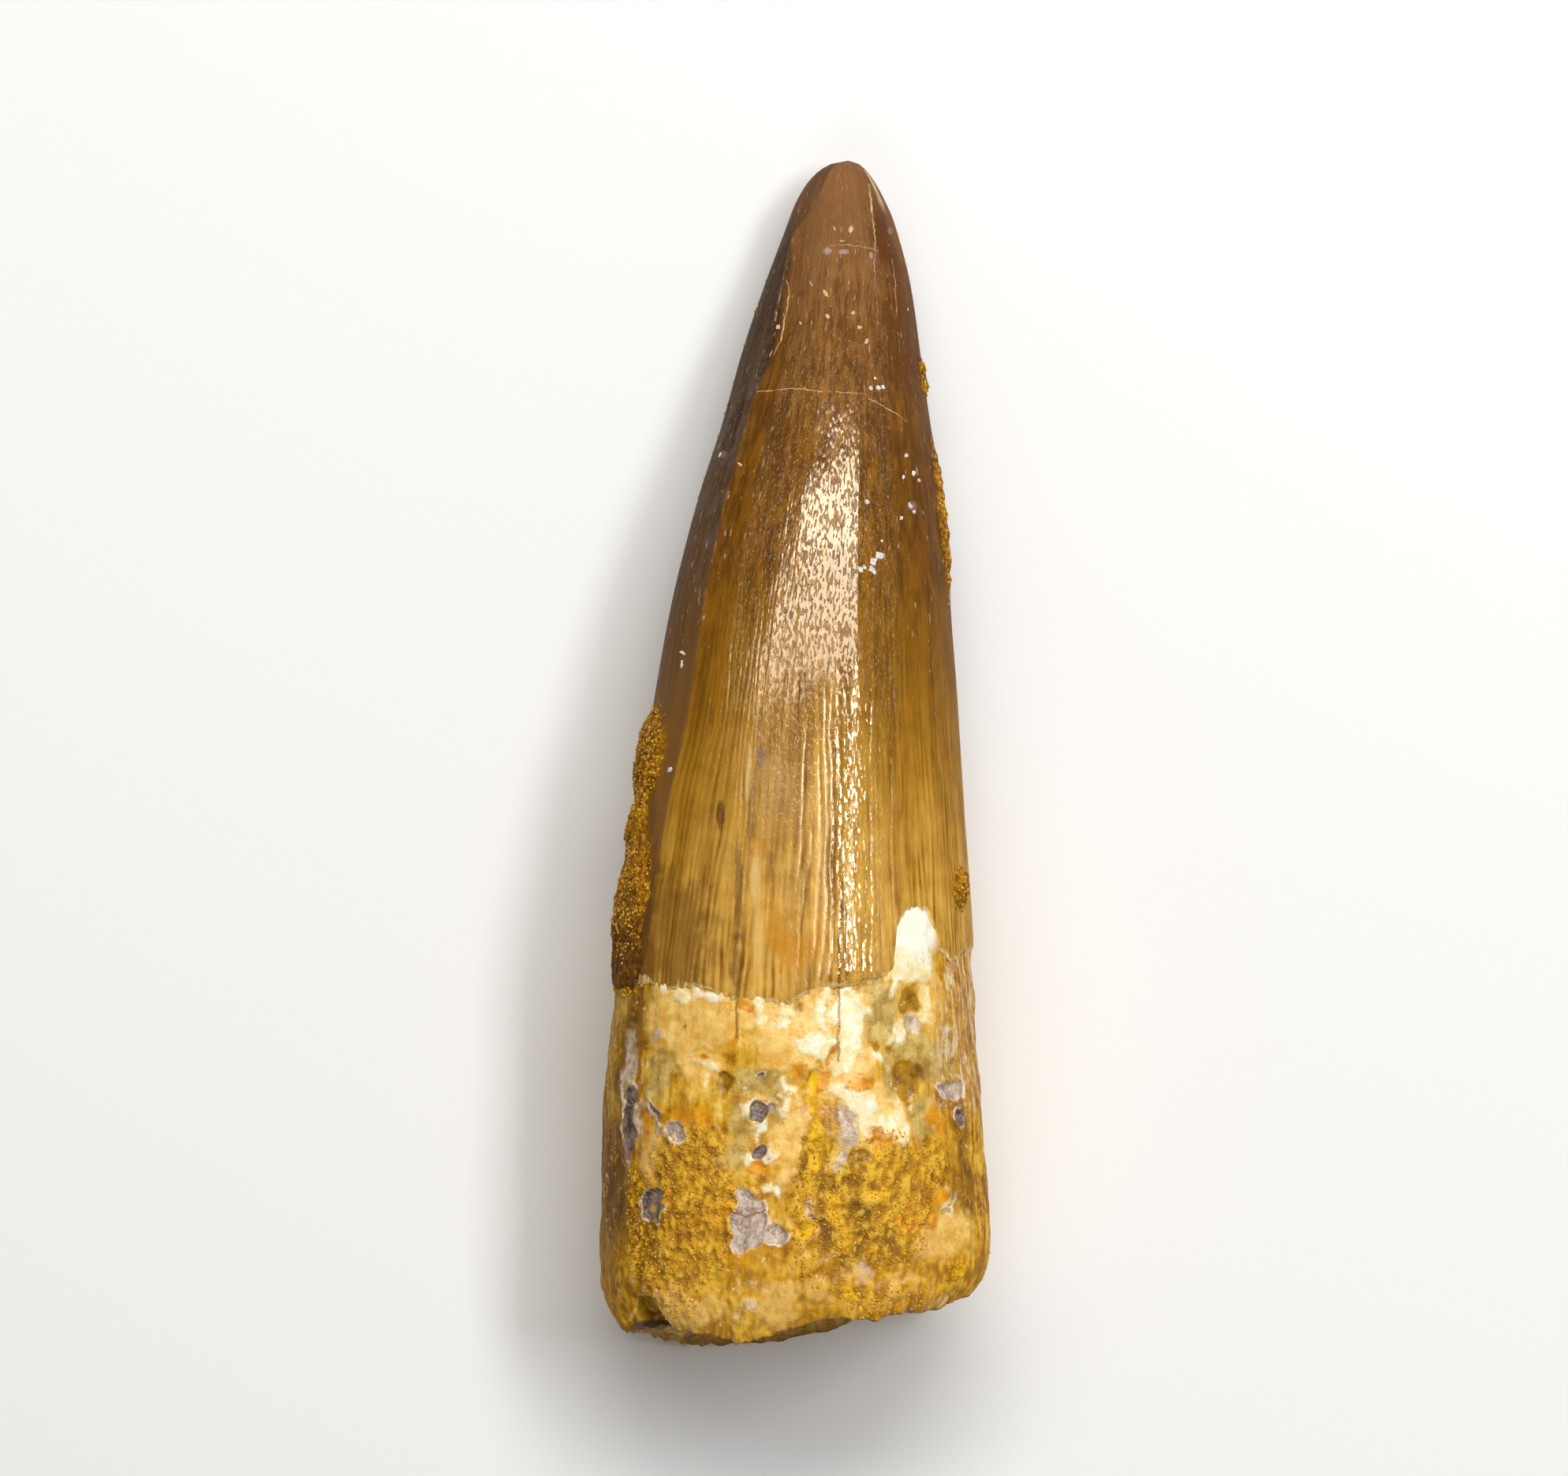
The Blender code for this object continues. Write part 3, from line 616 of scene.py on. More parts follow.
def enamel_finish():
    """Amber enamel that turns to tan towards the root, dark between its ridges, glossy and finely uneven."""
    finish, shader, start = new_finish("enamel")
    place = millimetres(start)
    flat = seen_from_above(place)
    grain = attribute(start, "grain", 1)
    from_tip = TOOTH_LENGTH - part(grain, 2)
    gap = attribute(start, "gap")
    band = attribute(start, "band")

    wide_lines = grain_cloud(grain, 1.3, 9, 2, 5)
    lines = grain_cloud(grain, 0.2, 18, 3)
    own_lines = grain_cloud(grain, 0.38, 16, 1, 41)
    clouds = cloud(place, 1.1, 3, 0.55, 29)
    down = (from_tip + 7 * cloud(place, 6) + 9 * wide_lines) * (1 / RAMP_LENGTH)
    light, dark = ramp(down, ENAMEL_LIGHT), ramp(down, ENAMEL_DARK)
    ridged = step(from_tip, 18, 31)
    streaky = step(grain_cloud(grain, 0.5, 7, 3, 21), 0, 0.14) * step(from_tip, 9, 16)
    tone = 0.64 + 1.3 * lines + 0.8 * wide_lines + 0.9 * clouds
    tone = tone - streaky * (1 - 0.7 * ridged) * 0.34 + ridged * (0.8 * own_lines - 0.58 * gap + 0.1)

    # Brown and pale mottling of the upper half, painted shade on its left and right parts, and amber streaks
    mottled = cloud(stretched(grain, (1, 1, 0.4)), 0.55, 4, 0.65, 53)
    brown = (1 - 0.8 * ridged) * step(from_tip, 3, 9)
    # painted shade: the crown's colour is darkened towards its left and right sides, where it turns from the
    # light
    shaded_left_part = step(band + 8 * wide_lines, -50, -10)
    shaded_right_part = step(band + 8 * wide_lines, -70, -92) * (1 - 0.6 * step(from_tip, 20, 40))
    amber = step(grain_cloud(grain, 1.1, 2, 2, 9), 0, 0.14) * step(from_tip, 8, 15) * step(from_tip, 36, 27)
    colour = painted(
        mix(tone, dark, light),
        (brown * step(mottled, 0, 0.08) * 0.62, (0.085, 0.03, 0.002)),
        (brown * step(mottled, 0, -0.1) * 0.32, (0.44, 0.195, 0.035)),
        (shaded_left_part * 0.45 + shaded_right_part * 0.44, dark),
        (amber * 0.5, (0.27, 0.1, 0)),
    )

    # Beyond the left cutting edge the face is smooth and darker, with a pale broken line on its upper end
    # and a painted lavender sheen in the middle of its length; a pale fringe lies on the right of the tip
    widened = band + 8 * wide_lines + 4 * lines + 28 * step(from_tip, 4.6, 1.6)
    widened = widened + 6 * step(from_tip, 4, 6) * step(from_tip, 14, 10.5)
    on_band = step(widened, -2.5, 3) * step(band, 80, 45)
    # painted sheen: a lavender reflection laid into the band's colour partway down its length
    painted_sheen = step(from_tip, 9, 13) * step(from_tip, 24, 19) * step(clouds, -0.06, 0.12)
    streaks = step(0.5 * lines + 0.3 * own_lines + 0.3 * cloud(place, 0.22, 3, 0.6, 47), -0.09, 0.09)
    band_colour = painted(
        ramp(down, BAND_COLOURS),
        (streaks * 0.6, (0.17, 0.084, 0.026)),
        (painted_sheen * 0.6, (0.13, 0.09, 0.075)),
        (step(from_tip, 5, 2.5) * 0.8, (0.15, 0.066, 0.026)),
    )
    beaded = step(cloud(place, 0.5, 3, 0.6, 33), 0, 0.1) * (1 - 0.6 * step(from_tip, 8.5, 11))
    edge_line = step(abs(band + 5 * clouds), 1.2, 0.2) * step(from_tip, 2, 3.5) * step(from_tip, 28, 22)
    off_fringe = abs(band + (LEFT_CARINA - FRINGE_ANGLE)) + 14 * clouds
    fringe = step(off_fringe, 10, 4) * step(from_tip, 0.4, 0.8) * step(from_tip, 3.2, 2.2)
    colour = painted(
        colour,
        (on_band * 0.9, band_colour),
        (edge_line * beaded * 0.5, (0.5, 0.32, 0.15)),
        (fringe * 0.7, (0.8, 0.62, 0.38)),
    )

    on_top = step(part(place, 2), 2.5, 4.5)
    for begin, end, width in DARK_CRACKS:
        line = crack(flat, 0.3 * clouds, begin, end, width)
        colour = mix(line * on_top * 0.75, colour, (0.19, 0.07, 0.006))
    wobble = 1.2 * lines + 1.4 * clouds
    for tint, stains in ENAMEL_STAINS:
        for x, height, width, length, strength in stains:
            inside = blob(flat, wobble, (x, height), width, length)
            colour = mix(inside * on_top * strength, colour, tint)
    wobble = 0.35 * clouds + 0.112 * cloud(place, 0.3, 2, 0.5, 35)
    seen = on_top * (0.35 + 0.5 * step(cloud(place, 0.5, 2, 0.5, 37), -0.12, 0.02))
    for begin, end, width, strength in PALE_CRACKS:
        colour = mix(crack(flat, wobble, begin, end, width) * seen * strength, colour, (0.8, 0.58, 0.3))

    # A pale worn fringe on the enamel's lower edge, small pale flecks, and the sandy crust
    to_edge = attribute(start, "to_edge") + 0.9 * clouds + 0.7 * cloud(place, 0.35, 3, 0.6, 39)
    flecks = cloud(stretched(grain, (1, 1, 0.5)), 0.36, 2, 0.5, 13) + 0.02 * on_band
    gritty = 0.5 + cloud(place, 0.26, 3, 0.65, 17)
    cover = attribute(start, "sandy")
    sandy = step(cover + 0.6 * (gritty - 0.5) + 0.5 * clouds, 0.1, 0.2) * step(cover, 0.01, 0.06)
    dirty = 1 - 0.65 * step(from_tip, 39, 42.5) - 0.5 * step(cloud(place, 0.7, 3, 0.6, 31), 0.02, 0.12)
    colour = painted(
        colour,
        (step(to_edge, 0.3, -0.05) * 0.8, (0.98, 0.72, 0.3)),
        (step(flecks, 0.18, 0.22) * step(from_tip, 34, 24) * 0.65, (0.54, 0.36, 0.21)),
        (sandy, mix(dirty, DEEP_BROWN, ramp(gritty, SAND_COLOURS))),
    )

    # Fine scales and pits, which are worn down over the ridges but not on the keel
    worn_down = step(abs(band + (LEFT_CARINA - KEEL_ANGLE)), 4.5, 10)
    over_ridges = step(from_tip, 22, 34)
    skin = scales(stretched(grain, (1, 1, 0.6)), 0.26, 3)
    pits = step(grain_cloud(grain, 0.17, 2.2, 2, 25) + 0.3 * clouds, 0, 0.08)
    relief = (1 + over_ridges * (1.5 - 2.2 * worn_down)) * (0.007 * skin - 0.012 * pits)
    shape = bumped(relief + 0.008 * lines + 0.12 * sandy * gritty)
    roughness = 0.08 + 0.06 * clouds + 0.2 * step(from_tip, 27, 40) * worn_down + 0.4 * sandy
    connect(shader, {"Base Color": colour, "Roughness": roughness, "Normal": shape})
    connect(shader, {"IOR": 1.62, "Specular IOR Level": 0.9, "Specular Tint": (1, 0.83, 0.62, 1)})
    dull = 0.75 * pits * (1 - 0.6 * over_ridges * worn_down) + 0.55 * gap * ridged * worn_down
    at_side = step(attribute(start, "side") + 0.3 * clouds, 0.05, 0.8)
    duller(shader, larger(at_side, larger(dull, step(from_tip, 3, 1))), colour, shape)
    return finish


crown_columns = uneven_turn(500, 260)
crown_edge = enamel_edge(crown_columns)
shares = (np.arange(1, CROWN_RINGS + 1)[:, None] / CROWN_RINGS) ** TIP_CROWDING
crown_heights = TOOTH_LENGTH - (TOOTH_LENGTH - crown_edge) * shares
crown_grid = np.broadcast_to(crown_columns, crown_heights.shape)
crown_points, crown_marks = crown_ring(crown_grid, crown_heights)


def turned_in(ring, columns, edge, steps):
    """Further rings for an end of a loft, each a rise and a distance inwards away from its last ring."""
    outward_x, outward_z = section(columns, edge)[2:]
    outward = np.stack([outward_x, np.zeros(columns.shape), outward_z], axis=-1)
    return [ring + inward * outward + (0, rise, 0) for rise, inward in steps]


# The enamel's lower edge turns in against the root, and the crown is closed inside it
lip = turned_in(crown_points[-1], crown_columns, crown_edge, ((-0.02, -0.05), (0.03, -0.14), (0.6, -1)))
crown_rings = np.concatenate([crown_points, lip])
tip = np.array([STATIONS[0, 1], TOOTH_LENGTH, STATIONS[0, 3]])
inside = crown_rings[-1].mean(axis=0) + (0, 4, 0)

# Heights are counted from the break's lowest point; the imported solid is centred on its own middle
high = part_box("tooth")[1]
wide_heights, wide_columns = np.meshgrid(np.arange(3, 14, 0.5), crown_columns[::4])
wide_x, wide_z, outward_x, outward_z = section(wide_columns, wide_heights)
wide_x = wide_x + outward_x * main_lift(wide_columns, wide_heights, wide_x, wide_z)[0]
TO_FRAME = np.array([-(wide_x.min() + wide_x.max()) / 2, high.y / MM - TOOTH_LENGTH, 0])

crown_mesh = loft_mesh("enamel_crown", crown_rings + TO_FRAME, tip + TO_FRAME, inside + TO_FRAME)
crown_marks["grain"] = grain_vector(crown_grid, crown_heights)
for name, values in crown_marks.items():
    store(crown_mesh, name, np.concatenate([values, np.repeat(values[-1:], len(lip), axis=0)]))
crown = place_piece(crown_mesh, enamel_finish())

# The root: bare fossil dentine, cream under the enamel and ochre lower down, patched with sage, orange and
# yellow stains, sand, and grey flakes with pale rims. It is broken across, which shows its pulp hollow.

# angle, height of the break's rim above its lowest point
BREAK_RIM = np.array([
    (0, 4), (20, 3.6), (40, 3.25), (56, 3.05), (69, 2.8), (81, 2.85), (92, 2.25), (104, 1.65),
    (116, 1.95), (128, 2.15), (136, 2.6), (146, 2.65), (151, 2.3), (157, 1.8), (166, 1.95), (180, 2.4),
    (200, 1.7), (225, 0.5), (250, 0.1), (270, 0.4), (290, 1.6), (320, 2.4), (340, 3.2), (360, 4),
])
RIM_ROUGHNESS = 0.22
RIM_WEAR, RIM_WEAR_LENGTH = 0.75, 2.2
CHIP_ANGLE = 142
CHIP_HALF_WIDTH = 5.5
CHIP_FLARE = 7
CHIP_LENGTH = 1.25
CHIP_DEPTH = 0.55
SHELF_DEPTH = 1.05  # how much deeper the notch is under its shelf
HOLLOW_SHARE = 0.6
HOLLOW_SHARE_AT_CHIP = 0.22
HOLLOW_DEPTH = 1.5
HOLLOW_DEPTH_AT_CHIP = 2.2
HOLLOW_WALL_SLOPE = 0.14
HOLLOW_SIDE, HOLLOW_SIDE_SPREAD = 147, 55
RAGGED_FADING = 9
ROOT_RINGS = 148
BREAK_RINGS = 56

# Stains, crusts and flakes of the upper face as they are seen from above, each kind painted over the ones
# before it: x, height, width, length and, for the slanting ones, how many degrees they lean to the right
SEEN_PATCHES = {
    "brown": (
        (-8.7, 18.2, 1.2, 3.4), (-9.2, 15.5, 0.7, 5), (-9.3, 9, 1.4, 6.5), (-9.2, 4.6, 1.5, 3.4),
        (-8.2, 17, 0.7, 1.1), (8.9, 10.8, 0.7, 5), (8.2, 9.2, 0.4, 3.2), (9, 8.4, 0.6, 1.8),
        (8.7, 16.3, 0.5, 1.4),
    ),
    "cream": (
        (-5.9, 18.5, 4.6, 3.3), (-5.1, 15.9, 2.3, 2.2), (-6.3, 16.9, 1.6, 1.2), (-4, 18.4, 3, 2.6),
        (-2, 18.6, 2.6, 2.2), (-0.2, 17.2, 3.6, 3.4), (0.9, 18.6, 2, 2.8), (3, 17, 3, 6),
        (4.4, 13.2, 3.4, 3.6), (-0.2, 12.2, 1.5, 5, 12), (-0.3, 14.3, 1.3, 1.6), (-7.4, 11.2, 1.2, 2.6),
        (7.6, 19.2, 1.6, 3.6), (7.4, 6.9, 2.3, 2.6), (8.2, 7.2, 1.8, 2.4), (6.6, 6.3, 1.6, 1.2),
        (-5.8, 8.5, 0.6, 1.2), (-5.2, 3.4, 3.4, 2.2), (-1, 3.6, 2.6, 2.4), (1.2, 4.4, 1.8, 1.6),
        (5.4, 4.4, 1.8, 1.2),
    ),
    "sage": (
        (-7.1, 15.6, 1.6, 1.8), (-7.6, 14.7, 0.9, 1.4), (-1.7, 15.1, 2.8, 1.8), (-2.7, 12.9, 1.1, 2.6),
        (-3.3, 11.3, 1.3, 2), (-1, 13.7, 0.8, 1.6), (4.9, 18.8, 1.9, 3), (6.4, 17.2, 2.4, 2),
        (7.3, 16, 1.8, 2.4), (6.9, 13, 1.7, 2.4), (5.4, 15.6, 0.9, 2), (8.5, 16, 0.8, 1.6),
    ),
    "white": (
        (6.2, 22.8, 2.8, 3.6), (6.4, 21.2, 3, 2.4), (3.1, 18.4, 1.6, 3.8), (2.8, 16.4, 1.2, 1.8),
        (1.3, 17, 1.8, 1.1), (1.8, 18.6, 0.5, 1.4), (1.9, 19.7, 0.6, 0.6), (-6.3, 19.6, 1, 0.8),
        (-7.4, 19.8, 0.6, 0.6), (-5.1, 19.8, 1.5, 0.5), (-4.5, 19.5, 0.8, 0.4), (-1.9, 19.1, 0.5, 1.3),
        (-1.5, 18.2, 0.6, 0.6), (-0.5, 18.7, 0.9, 0.5), (-0.4, 18.1, 0.6, 0.5),
        (-4.6, 15.8, 0.4, 1.6, -35), (-5, 13.45, 0.45, 0.75), (-4.85, 14.95, 0.3, 0.3),
        (-2.2, 13.6, 0.7, 1), (-1.6, 12.6, 0.8, 0.5), (-2.2, 11.3, 0.8, 0.8),
        (-0.6, 14.2, 0.5, 1.6, 10), (-0.1, 15, 1, 0.6), (3.2, 14.5, 1.6, 1.2), (3.7, 13.7, 1.8, 1.2),
        (4.4, 12.7, 1.8, 1), (5.5, 13.1, 0.7, 2.4), (4.7, 16.3, 1.1, 0.7, 30), (5.7, 17.7, 1, 1.2),
        (5.6, 19.6, 0.5, 0.6), (7.7, 19.2, 0.4, 1.4), (7.4, 18.3, 0.5, 0.6), (8.4, 17.6, 0.5, 0.6),
        (9, 20.6, 0.3, 1.4), (-6.45, 11.75, 0.35, 0.45), (-5.8, 11.8, 0.35, 0.4),
        (-1.2, 9.75, 0.5, 0.5), (-7.7, 4.9, 0.3, 0.5), (-8.4, 4.9, 0.2, 0.5),
        (-2.95, 4.2, 0.16, 1.5, 4), (-2.3, 3.6, 0.8, 0.4, 20), (-2.2, 4.5, 0.6, 0.3),
        (-2.9, 3, 0.25, 0.5), (8, 3.6, 0.5, 0.6), (3.8, 3.7, 0.2, 0.4), (7.7, 8.9, 0.25, 1),
        (8.1, 8.4, 0.25, 0.9),
    ),
    "sand": (
        (-5.6, 10.6, 2.6, 4.6), (-5.2, 7.4, 4, 5.4), (-7.4, 6.2, 2.6, 3.6), (-4.5, 12.2, 1.8, 1.6),
        (-8.3, 8.6, 1.2, 4), (-3.6, 9.6, 1.4, 1.6), (5.2, 9.4, 3.6, 4.6), (4.7, 7.2, 2.2, 3.2),
        (2.6, 8.4, 3.4, 5), (0.9, 11.2, 1.8, 3), (7, 11, 1.8, 2), (2.8, 4.5, 1.8, 1),
        (8.4, 4.8, 1.2, 1), (5.4, 11.4, 2.4, 1.2), (-8.9, 21, 1.6, 3),
    ),
    "olive": (
        (-3.7, 14.8, 1.3, 1.2), (6.2, 15.3, 1.5, 2), (6.6, 19, 1.3, 1.4), (1.4, 7.3, 0.9, 2.6),
        (2.3, 6.2, 2, 0.6), (3.3, 7.6, 1, 2.8), (1.5, 9.8, 1, 1.8), (0.35, 11.4, 0.5, 1.9),
        (3.2, 10.9, 1, 1.5), (2.9, 9.6, 1.2, 0.9), (4.9, 7, 0.7, 1.4), (-6.25, 17.9, 0.2, 0.35),
        (5.3, 16.9, 0.35, 0.4), (4.7, 16.9, 0.5, 0.8), (6.9, 19.8, 0.3, 0.9, 45),
        (4.5, 20.4, 0.5, 0.3, 40), (0.2, 19.3, 0.9, 0.25),
    ),
    "orange": (
        (-5.8, 13.3, 1.4, 0.8), (-4.75, 13.6, 1.2, 1.3), (-5.1, 12.8, 1.6, 0.6), (-2.6, 19.2, 1, 0.9),
        (-4.75, 16.6, 0.4, 0.5), (-2.9, 17.2, 0.4, 0.5), (1.7, 15.2, 1.7, 1.3), (3.9, 15, 1.3, 0.7),
        (1.4, 13.6, 0.5, 1.4), (-1.6, 10.7, 1.3, 0.8), (-4.1, 8.4, 2.2, 1), (-2.6, 5.7, 1.9, 0.6),
        (-6.3, 9, 1, 1.2), (-2.6, 5.85, 1.9, 0.5), (7.1, 9.2, 1.4, 1.2), (7, 7.9, 0.8, 1),
        (6.3, 8.2, 0.5, 1.5), (5.8, 7.9, 0.8, 1.8), (4.4, 12.2, 1, 1.4), (2, 16.6, 0.4, 0.8),
        (7.6, 12.8, 0.9, 1.6), (0.2, 15.8, 0.6, 0.7), (-7.8, 12.5, 0.5, 1.7),
    ),
    "yellow": (
        (1.15, 11.6, 0.9, 2.9), (1.25, 15.2, 1.2, 1.1), (0.95, 10, 0.5, 1.4), (1.4, 14.3, 0.5, 2.2, 15),
        (2, 8.4, 0.7, 1.9), (2.6, 7.2, 1, 0.9), (0.5, 7.7, 0.9, 0.9), (4.3, 9.4, 1, 0.8),
        (4.1, 11.3, 0.7, 0.6), (-8.55, 6.4, 0.4, 1.6, 8), (2.6, 4.4, 1, 0.9), (5.5, 4.3, 0.8, 0.7),
        (8.5, 4.8, 0.8, 0.6), (-5.6, 5.9, 0.6, 0.8),
    ),
    "lilac": (
        (2.7, 12.6, 1.2, 2.2), (2.45, 10.9, 0.7, 1.4), (3.5, 5.5, 1, 1.1), (-8.85, 16.1, 0.8, 3.4),
        (-7.5, 17.3, 0.5, 1.2), (-8.2, 12.9, 0.35, 1.6), (-7.6, 13.5, 1.1, 0.4), (0.85, 8.6, 0.5, 0.8),
        (6.8, 17.9, 1, 0.8), (-7, 12.6, 0.4, 1.9, -35),
    ),
    "flake": (
        (-6.1, 12.4, 1.2, 1.1), (-2.45, 8.8, 1.5, 1.2), (-2.5, 8, 1.9, 1.5), (-2.5, 7, 1.5, 1.7),
        (-1.2, 7.2, 1.8, 1), (8.5, 14.6, 1.5, 1.2),
    ),
    "chip": (
        (-1.75, 13.4, 1.1, 1.3), (-1.5, 11.6, 1.1, 0.75), (-8.75, 12.6, 0.95, 4.2),
        (-7.1, 9.3, 0.8, 0.9), (-7.05, 8.4, 0.8, 1.3), (-7.45, 8.6, 1, 1.4), (-1.4, 15.5, 0.4, 0.5),
        (8.9, 13.2, 0.5, 1), (-7.2, 13.4, 0.3, 1.4, -35),
    ),
}
# The same kinds on the faces that the view from above leaves hidden: how many, smallest and largest size
HIDDEN_PATCHES = {
    "brown": (5, 1, 3), "cream": (9, 1.6, 5), "sage": (9, 1, 3.2), "white": (16, 0.4, 2),
    "sand": (7, 2.2, 5), "olive": (8, 0.8, 2.2), "orange": (10, 0.6, 2), "yellow": (8, 0.6, 2.2),
    "lilac": (6, 0.6, 1.8), "flake": (6, 0.8, 2), "chip": (8, 0.5, 1.5),
}
ROOT_HALF_WIDTH = 10.2
MM_PER_DEGREE = 0.165


def angle_above(x):
    """The angle of a place on the root's upper face that is seen at x from above."""
    share = np.clip(x / ROOT_HALF_WIDTH, -1, 1)
    return float(np.degrees(np.arccos(np.sign(share) * abs(share) ** (TOP_POWER / 2))))


def patches_of(kind):
    """Every patch of a kind: its angle, half its turn, its height, width, length and lean."""
    for x, height, width, length, *lean in SEEN_PATCHES[kind]:
        right, left = angle_above(x + width / 2), angle_above(x - width / 2)
        yield (left + right) / 2, (left - right) / 2, height, width, length, lean[0] if lean else 0
    count, smallest, largest = HIDDEN_PATCHES[kind]
    lowest = 12 if kind in ("cream", "white") else 3
    draw = np.random.default_rng(len(kind) * 7 + count)
    for _ in range(count):
        width, length = draw.uniform(smallest, largest), draw.uniform(smallest, largest)
        lean, angle, height = draw.uniform(-40, 40), draw.uniform(184, 356), draw.uniform(lowest, 19.5)
        yield angle, width / 2 / MM_PER_DEGREE, height, width, length, lean


def patch_field(kind, columns, height):
    """How deep inside a kind's patches each place is, in millimetres: 0 on their edges, below 0 outside."""
    field = np.full(columns.shape, -1.0)
    for angle, half_turn, level, width, length, lean in patches_of(kind):
        across = turn_between(angle, columns) / half_turn * width / 2
        along = height - level
        slant, upright = np.sin(np.radians(lean)), np.cos(np.radians(lean))
        off_x = (across * upright - along * slant) * 2 / width
        off_y = (across * slant + along * upright) * 2 / length
        field = np.maximum(field, (1 - np.hypot(off_x, off_y)) * min(width, length) / 2)
    return field


def rim_height(columns):
    """Height of the break's rim at each column."""
    around = np.cos(np.radians(columns)), np.sin(np.radians(columns)), 0
    rim = smooth_curve(*BREAK_RIM.T, columns % 360) + RIM_ROUGHNESS * noise_at(*around, 0.09, 21)
    return rim + 0.1 * noise_at(*around, 0.03, 22, 3)


def root_surface(columns, height):
    """Points of the root's outside, and what its finish reads there."""
    x, z, outward_x, outward_z = section(columns, height)
    here = x, height, z
    lifted, cover = main_lift(columns, height, x, z)
    turned, raised = (
        0.55 * noise_at(*here, 1.6, seed, 2) + 0.2 * noise_at(*here, 0.45, seed + 2) for seed in (83, 87)
    )
    strayed = columns + turned / MM_PER_DEGREE, height + raised
    fields = {kind: patch_field(kind, *strayed) for kind in SEEN_PATCHES}
    above_rim = height - rim_height(columns)
    wear = RIM_WEAR * np.clip(1 - above_rim / RIM_WEAR_LENGTH, 0, 1) ** 2
    wear = wear * (1 - 0.45 * smooth_step(0.55, 0.9, np.sin(np.radians(columns))))
    ragged = noise_at(*here, 0.9, 91, 2)
    turn = turn_between(columns, CHIP_ANGLE) + 1.2 * ragged
    right_side = -CHIP_HALF_WIDTH - CHIP_FLARE * (1 - above_rim / CHIP_LENGTH)
    in_notch = smooth_step(0.4, -0.4, np.maximum(turn - CHIP_HALF_WIDTH, right_side - turn))
    up_notch = above_rim + 0.2 * ragged
    notch = in_notch * smooth_step(CHIP_LENGTH + 0.1, CHIP_LENGTH - 0.1, up_notch)
    below_shelf = in_notch * smooth_step(0.4, 0.2, up_notch)

    sandy = np.maximum(smooth_step(-0.05, 0.35, fields["sand"]), smooth_step(0.08, 0.4, cover))
    flaked = np.maximum(fields["chip"], fields["flake"])
    pits = 0.14 * smooth_step(0.02, 0.14, flaked) - 0.06 * bump(flaked + 0.04, 0.14)
    skin = 0.06 * smooth_step(-0.05, 0.06, fields["cream"])
    skin = skin + 0.05 * smooth_step(-0.05, 0.05, fields["white"])
    hollows = 0.12 * smooth_step(0, 0.25, fields["olive"]) + 0.06 * smooth_step(0, 0.2, fields["yellow"])
    gritty = 0.5 * noise_at(x, height / 1.3, z, 0.6, 71, 2) + 0.7 * noise_at(x, height / 1.5, z, 0.27, 73)
    rough = 0.2 * np.maximum(sandy, 0.5 * smooth_step(7, 3.5, height))
    rough = rough * smooth_step(0.05, -0.05, flaked) * smooth_step(0.2, 1.5, z)
    grain = 0.045 * (1 - sandy) * grain_noise(columns, height, 8, 0.45, 61, 2)
    dents = 0.07 * noise_at(*here, 1.4, 97, 3)
    off = lifted + skin - pits - hollows + rough * gritty + grain + dents - wear - ENAMEL_THICKNESS
    off = off - CHIP_DEPTH * notch - SHELF_DEPTH * below_shelf
    points = np.stack([x + off * outward_x, height, z + off * outward_z], axis=-1)
    crumbs = sandy * smooth_step(0.1, 0.3, z) * smooth_step(0, -0.1, flaked)
    fields.update(crumbs=crumbs, gritty=gritty, notch=notch, below_shelf=below_shelf)
    return points, fields


def break_surface(columns, rim):
    """Points of the break from its rim to its middle, how sunk each is, and its share of the way out."""
    x, z = section(columns, rim[:, 1])[:2]
    spacing = (np.roll(columns, -1) - np.roll(columns, 1)) % 360
    middle = np.average(rim, axis=0, weights=spacing)
    slope_x, slope_z = np.linalg.lstsq((rim - middle)[:, [0, 2]], rim[:, 1] - middle[1], rcond=None)[0]
    level = slope_x * (x - middle[0]) + slope_z * (z - middle[2])
    even = np.stack([x - middle[0], level, z - middle[2]], axis=-1)
    at_chip = bump(turn_between(columns, HOLLOW_SIDE), HOLLOW_SIDE_SPREAD)
    out = (1 - np.arange(1, BREAK_RINGS + 1) / (BREAK_RINGS + 1))[:, None, None]
    points = middle + even * out + (rim - middle - even) * out**RAGGED_FADING
    share = out[:, :, 0]
    here = points[..., 0], 0, points[..., 2]
    ragged = 0.05 * noise_at(*here, 1.2, 33, 3)
    edge = HOLLOW_SHARE + HOLLOW_SHARE_AT_CHIP * at_chip
    sunk = smooth_step(-0.5, 0.5, (edge - share + ragged) / HOLLOW_WALL_SLOPE)
    rough = 0.22 * noise_at(*here, 1.3, 35, 4) + 0.16 * np.abs(noise_at(*here, 0.8, 36, 2))
    rough = rough * (0.8 + 0.8 * sunk) * smooth_step(1, 0.93, share)
    points[..., 1] += sunk * (HOLLOW_DEPTH + HOLLOW_DEPTH_AT_CHIP * at_chip * share)
    points[..., 1] += 0.3 * noise_at(*here, 2.4, 31) + rough
    return points, sunk, np.broadcast_to(share, sunk.shape)


ROOT_TONES = (
    (0.28, (0.3, 0.115, 0.001)), (0.42, (0.52, 0.235, 0.004)), (0.54, (0.7, 0.375, 0.018)),
    (0.66, (0.84, 0.5, 0.055)), (0.82, (0.96, 0.7, 0.19)),
)
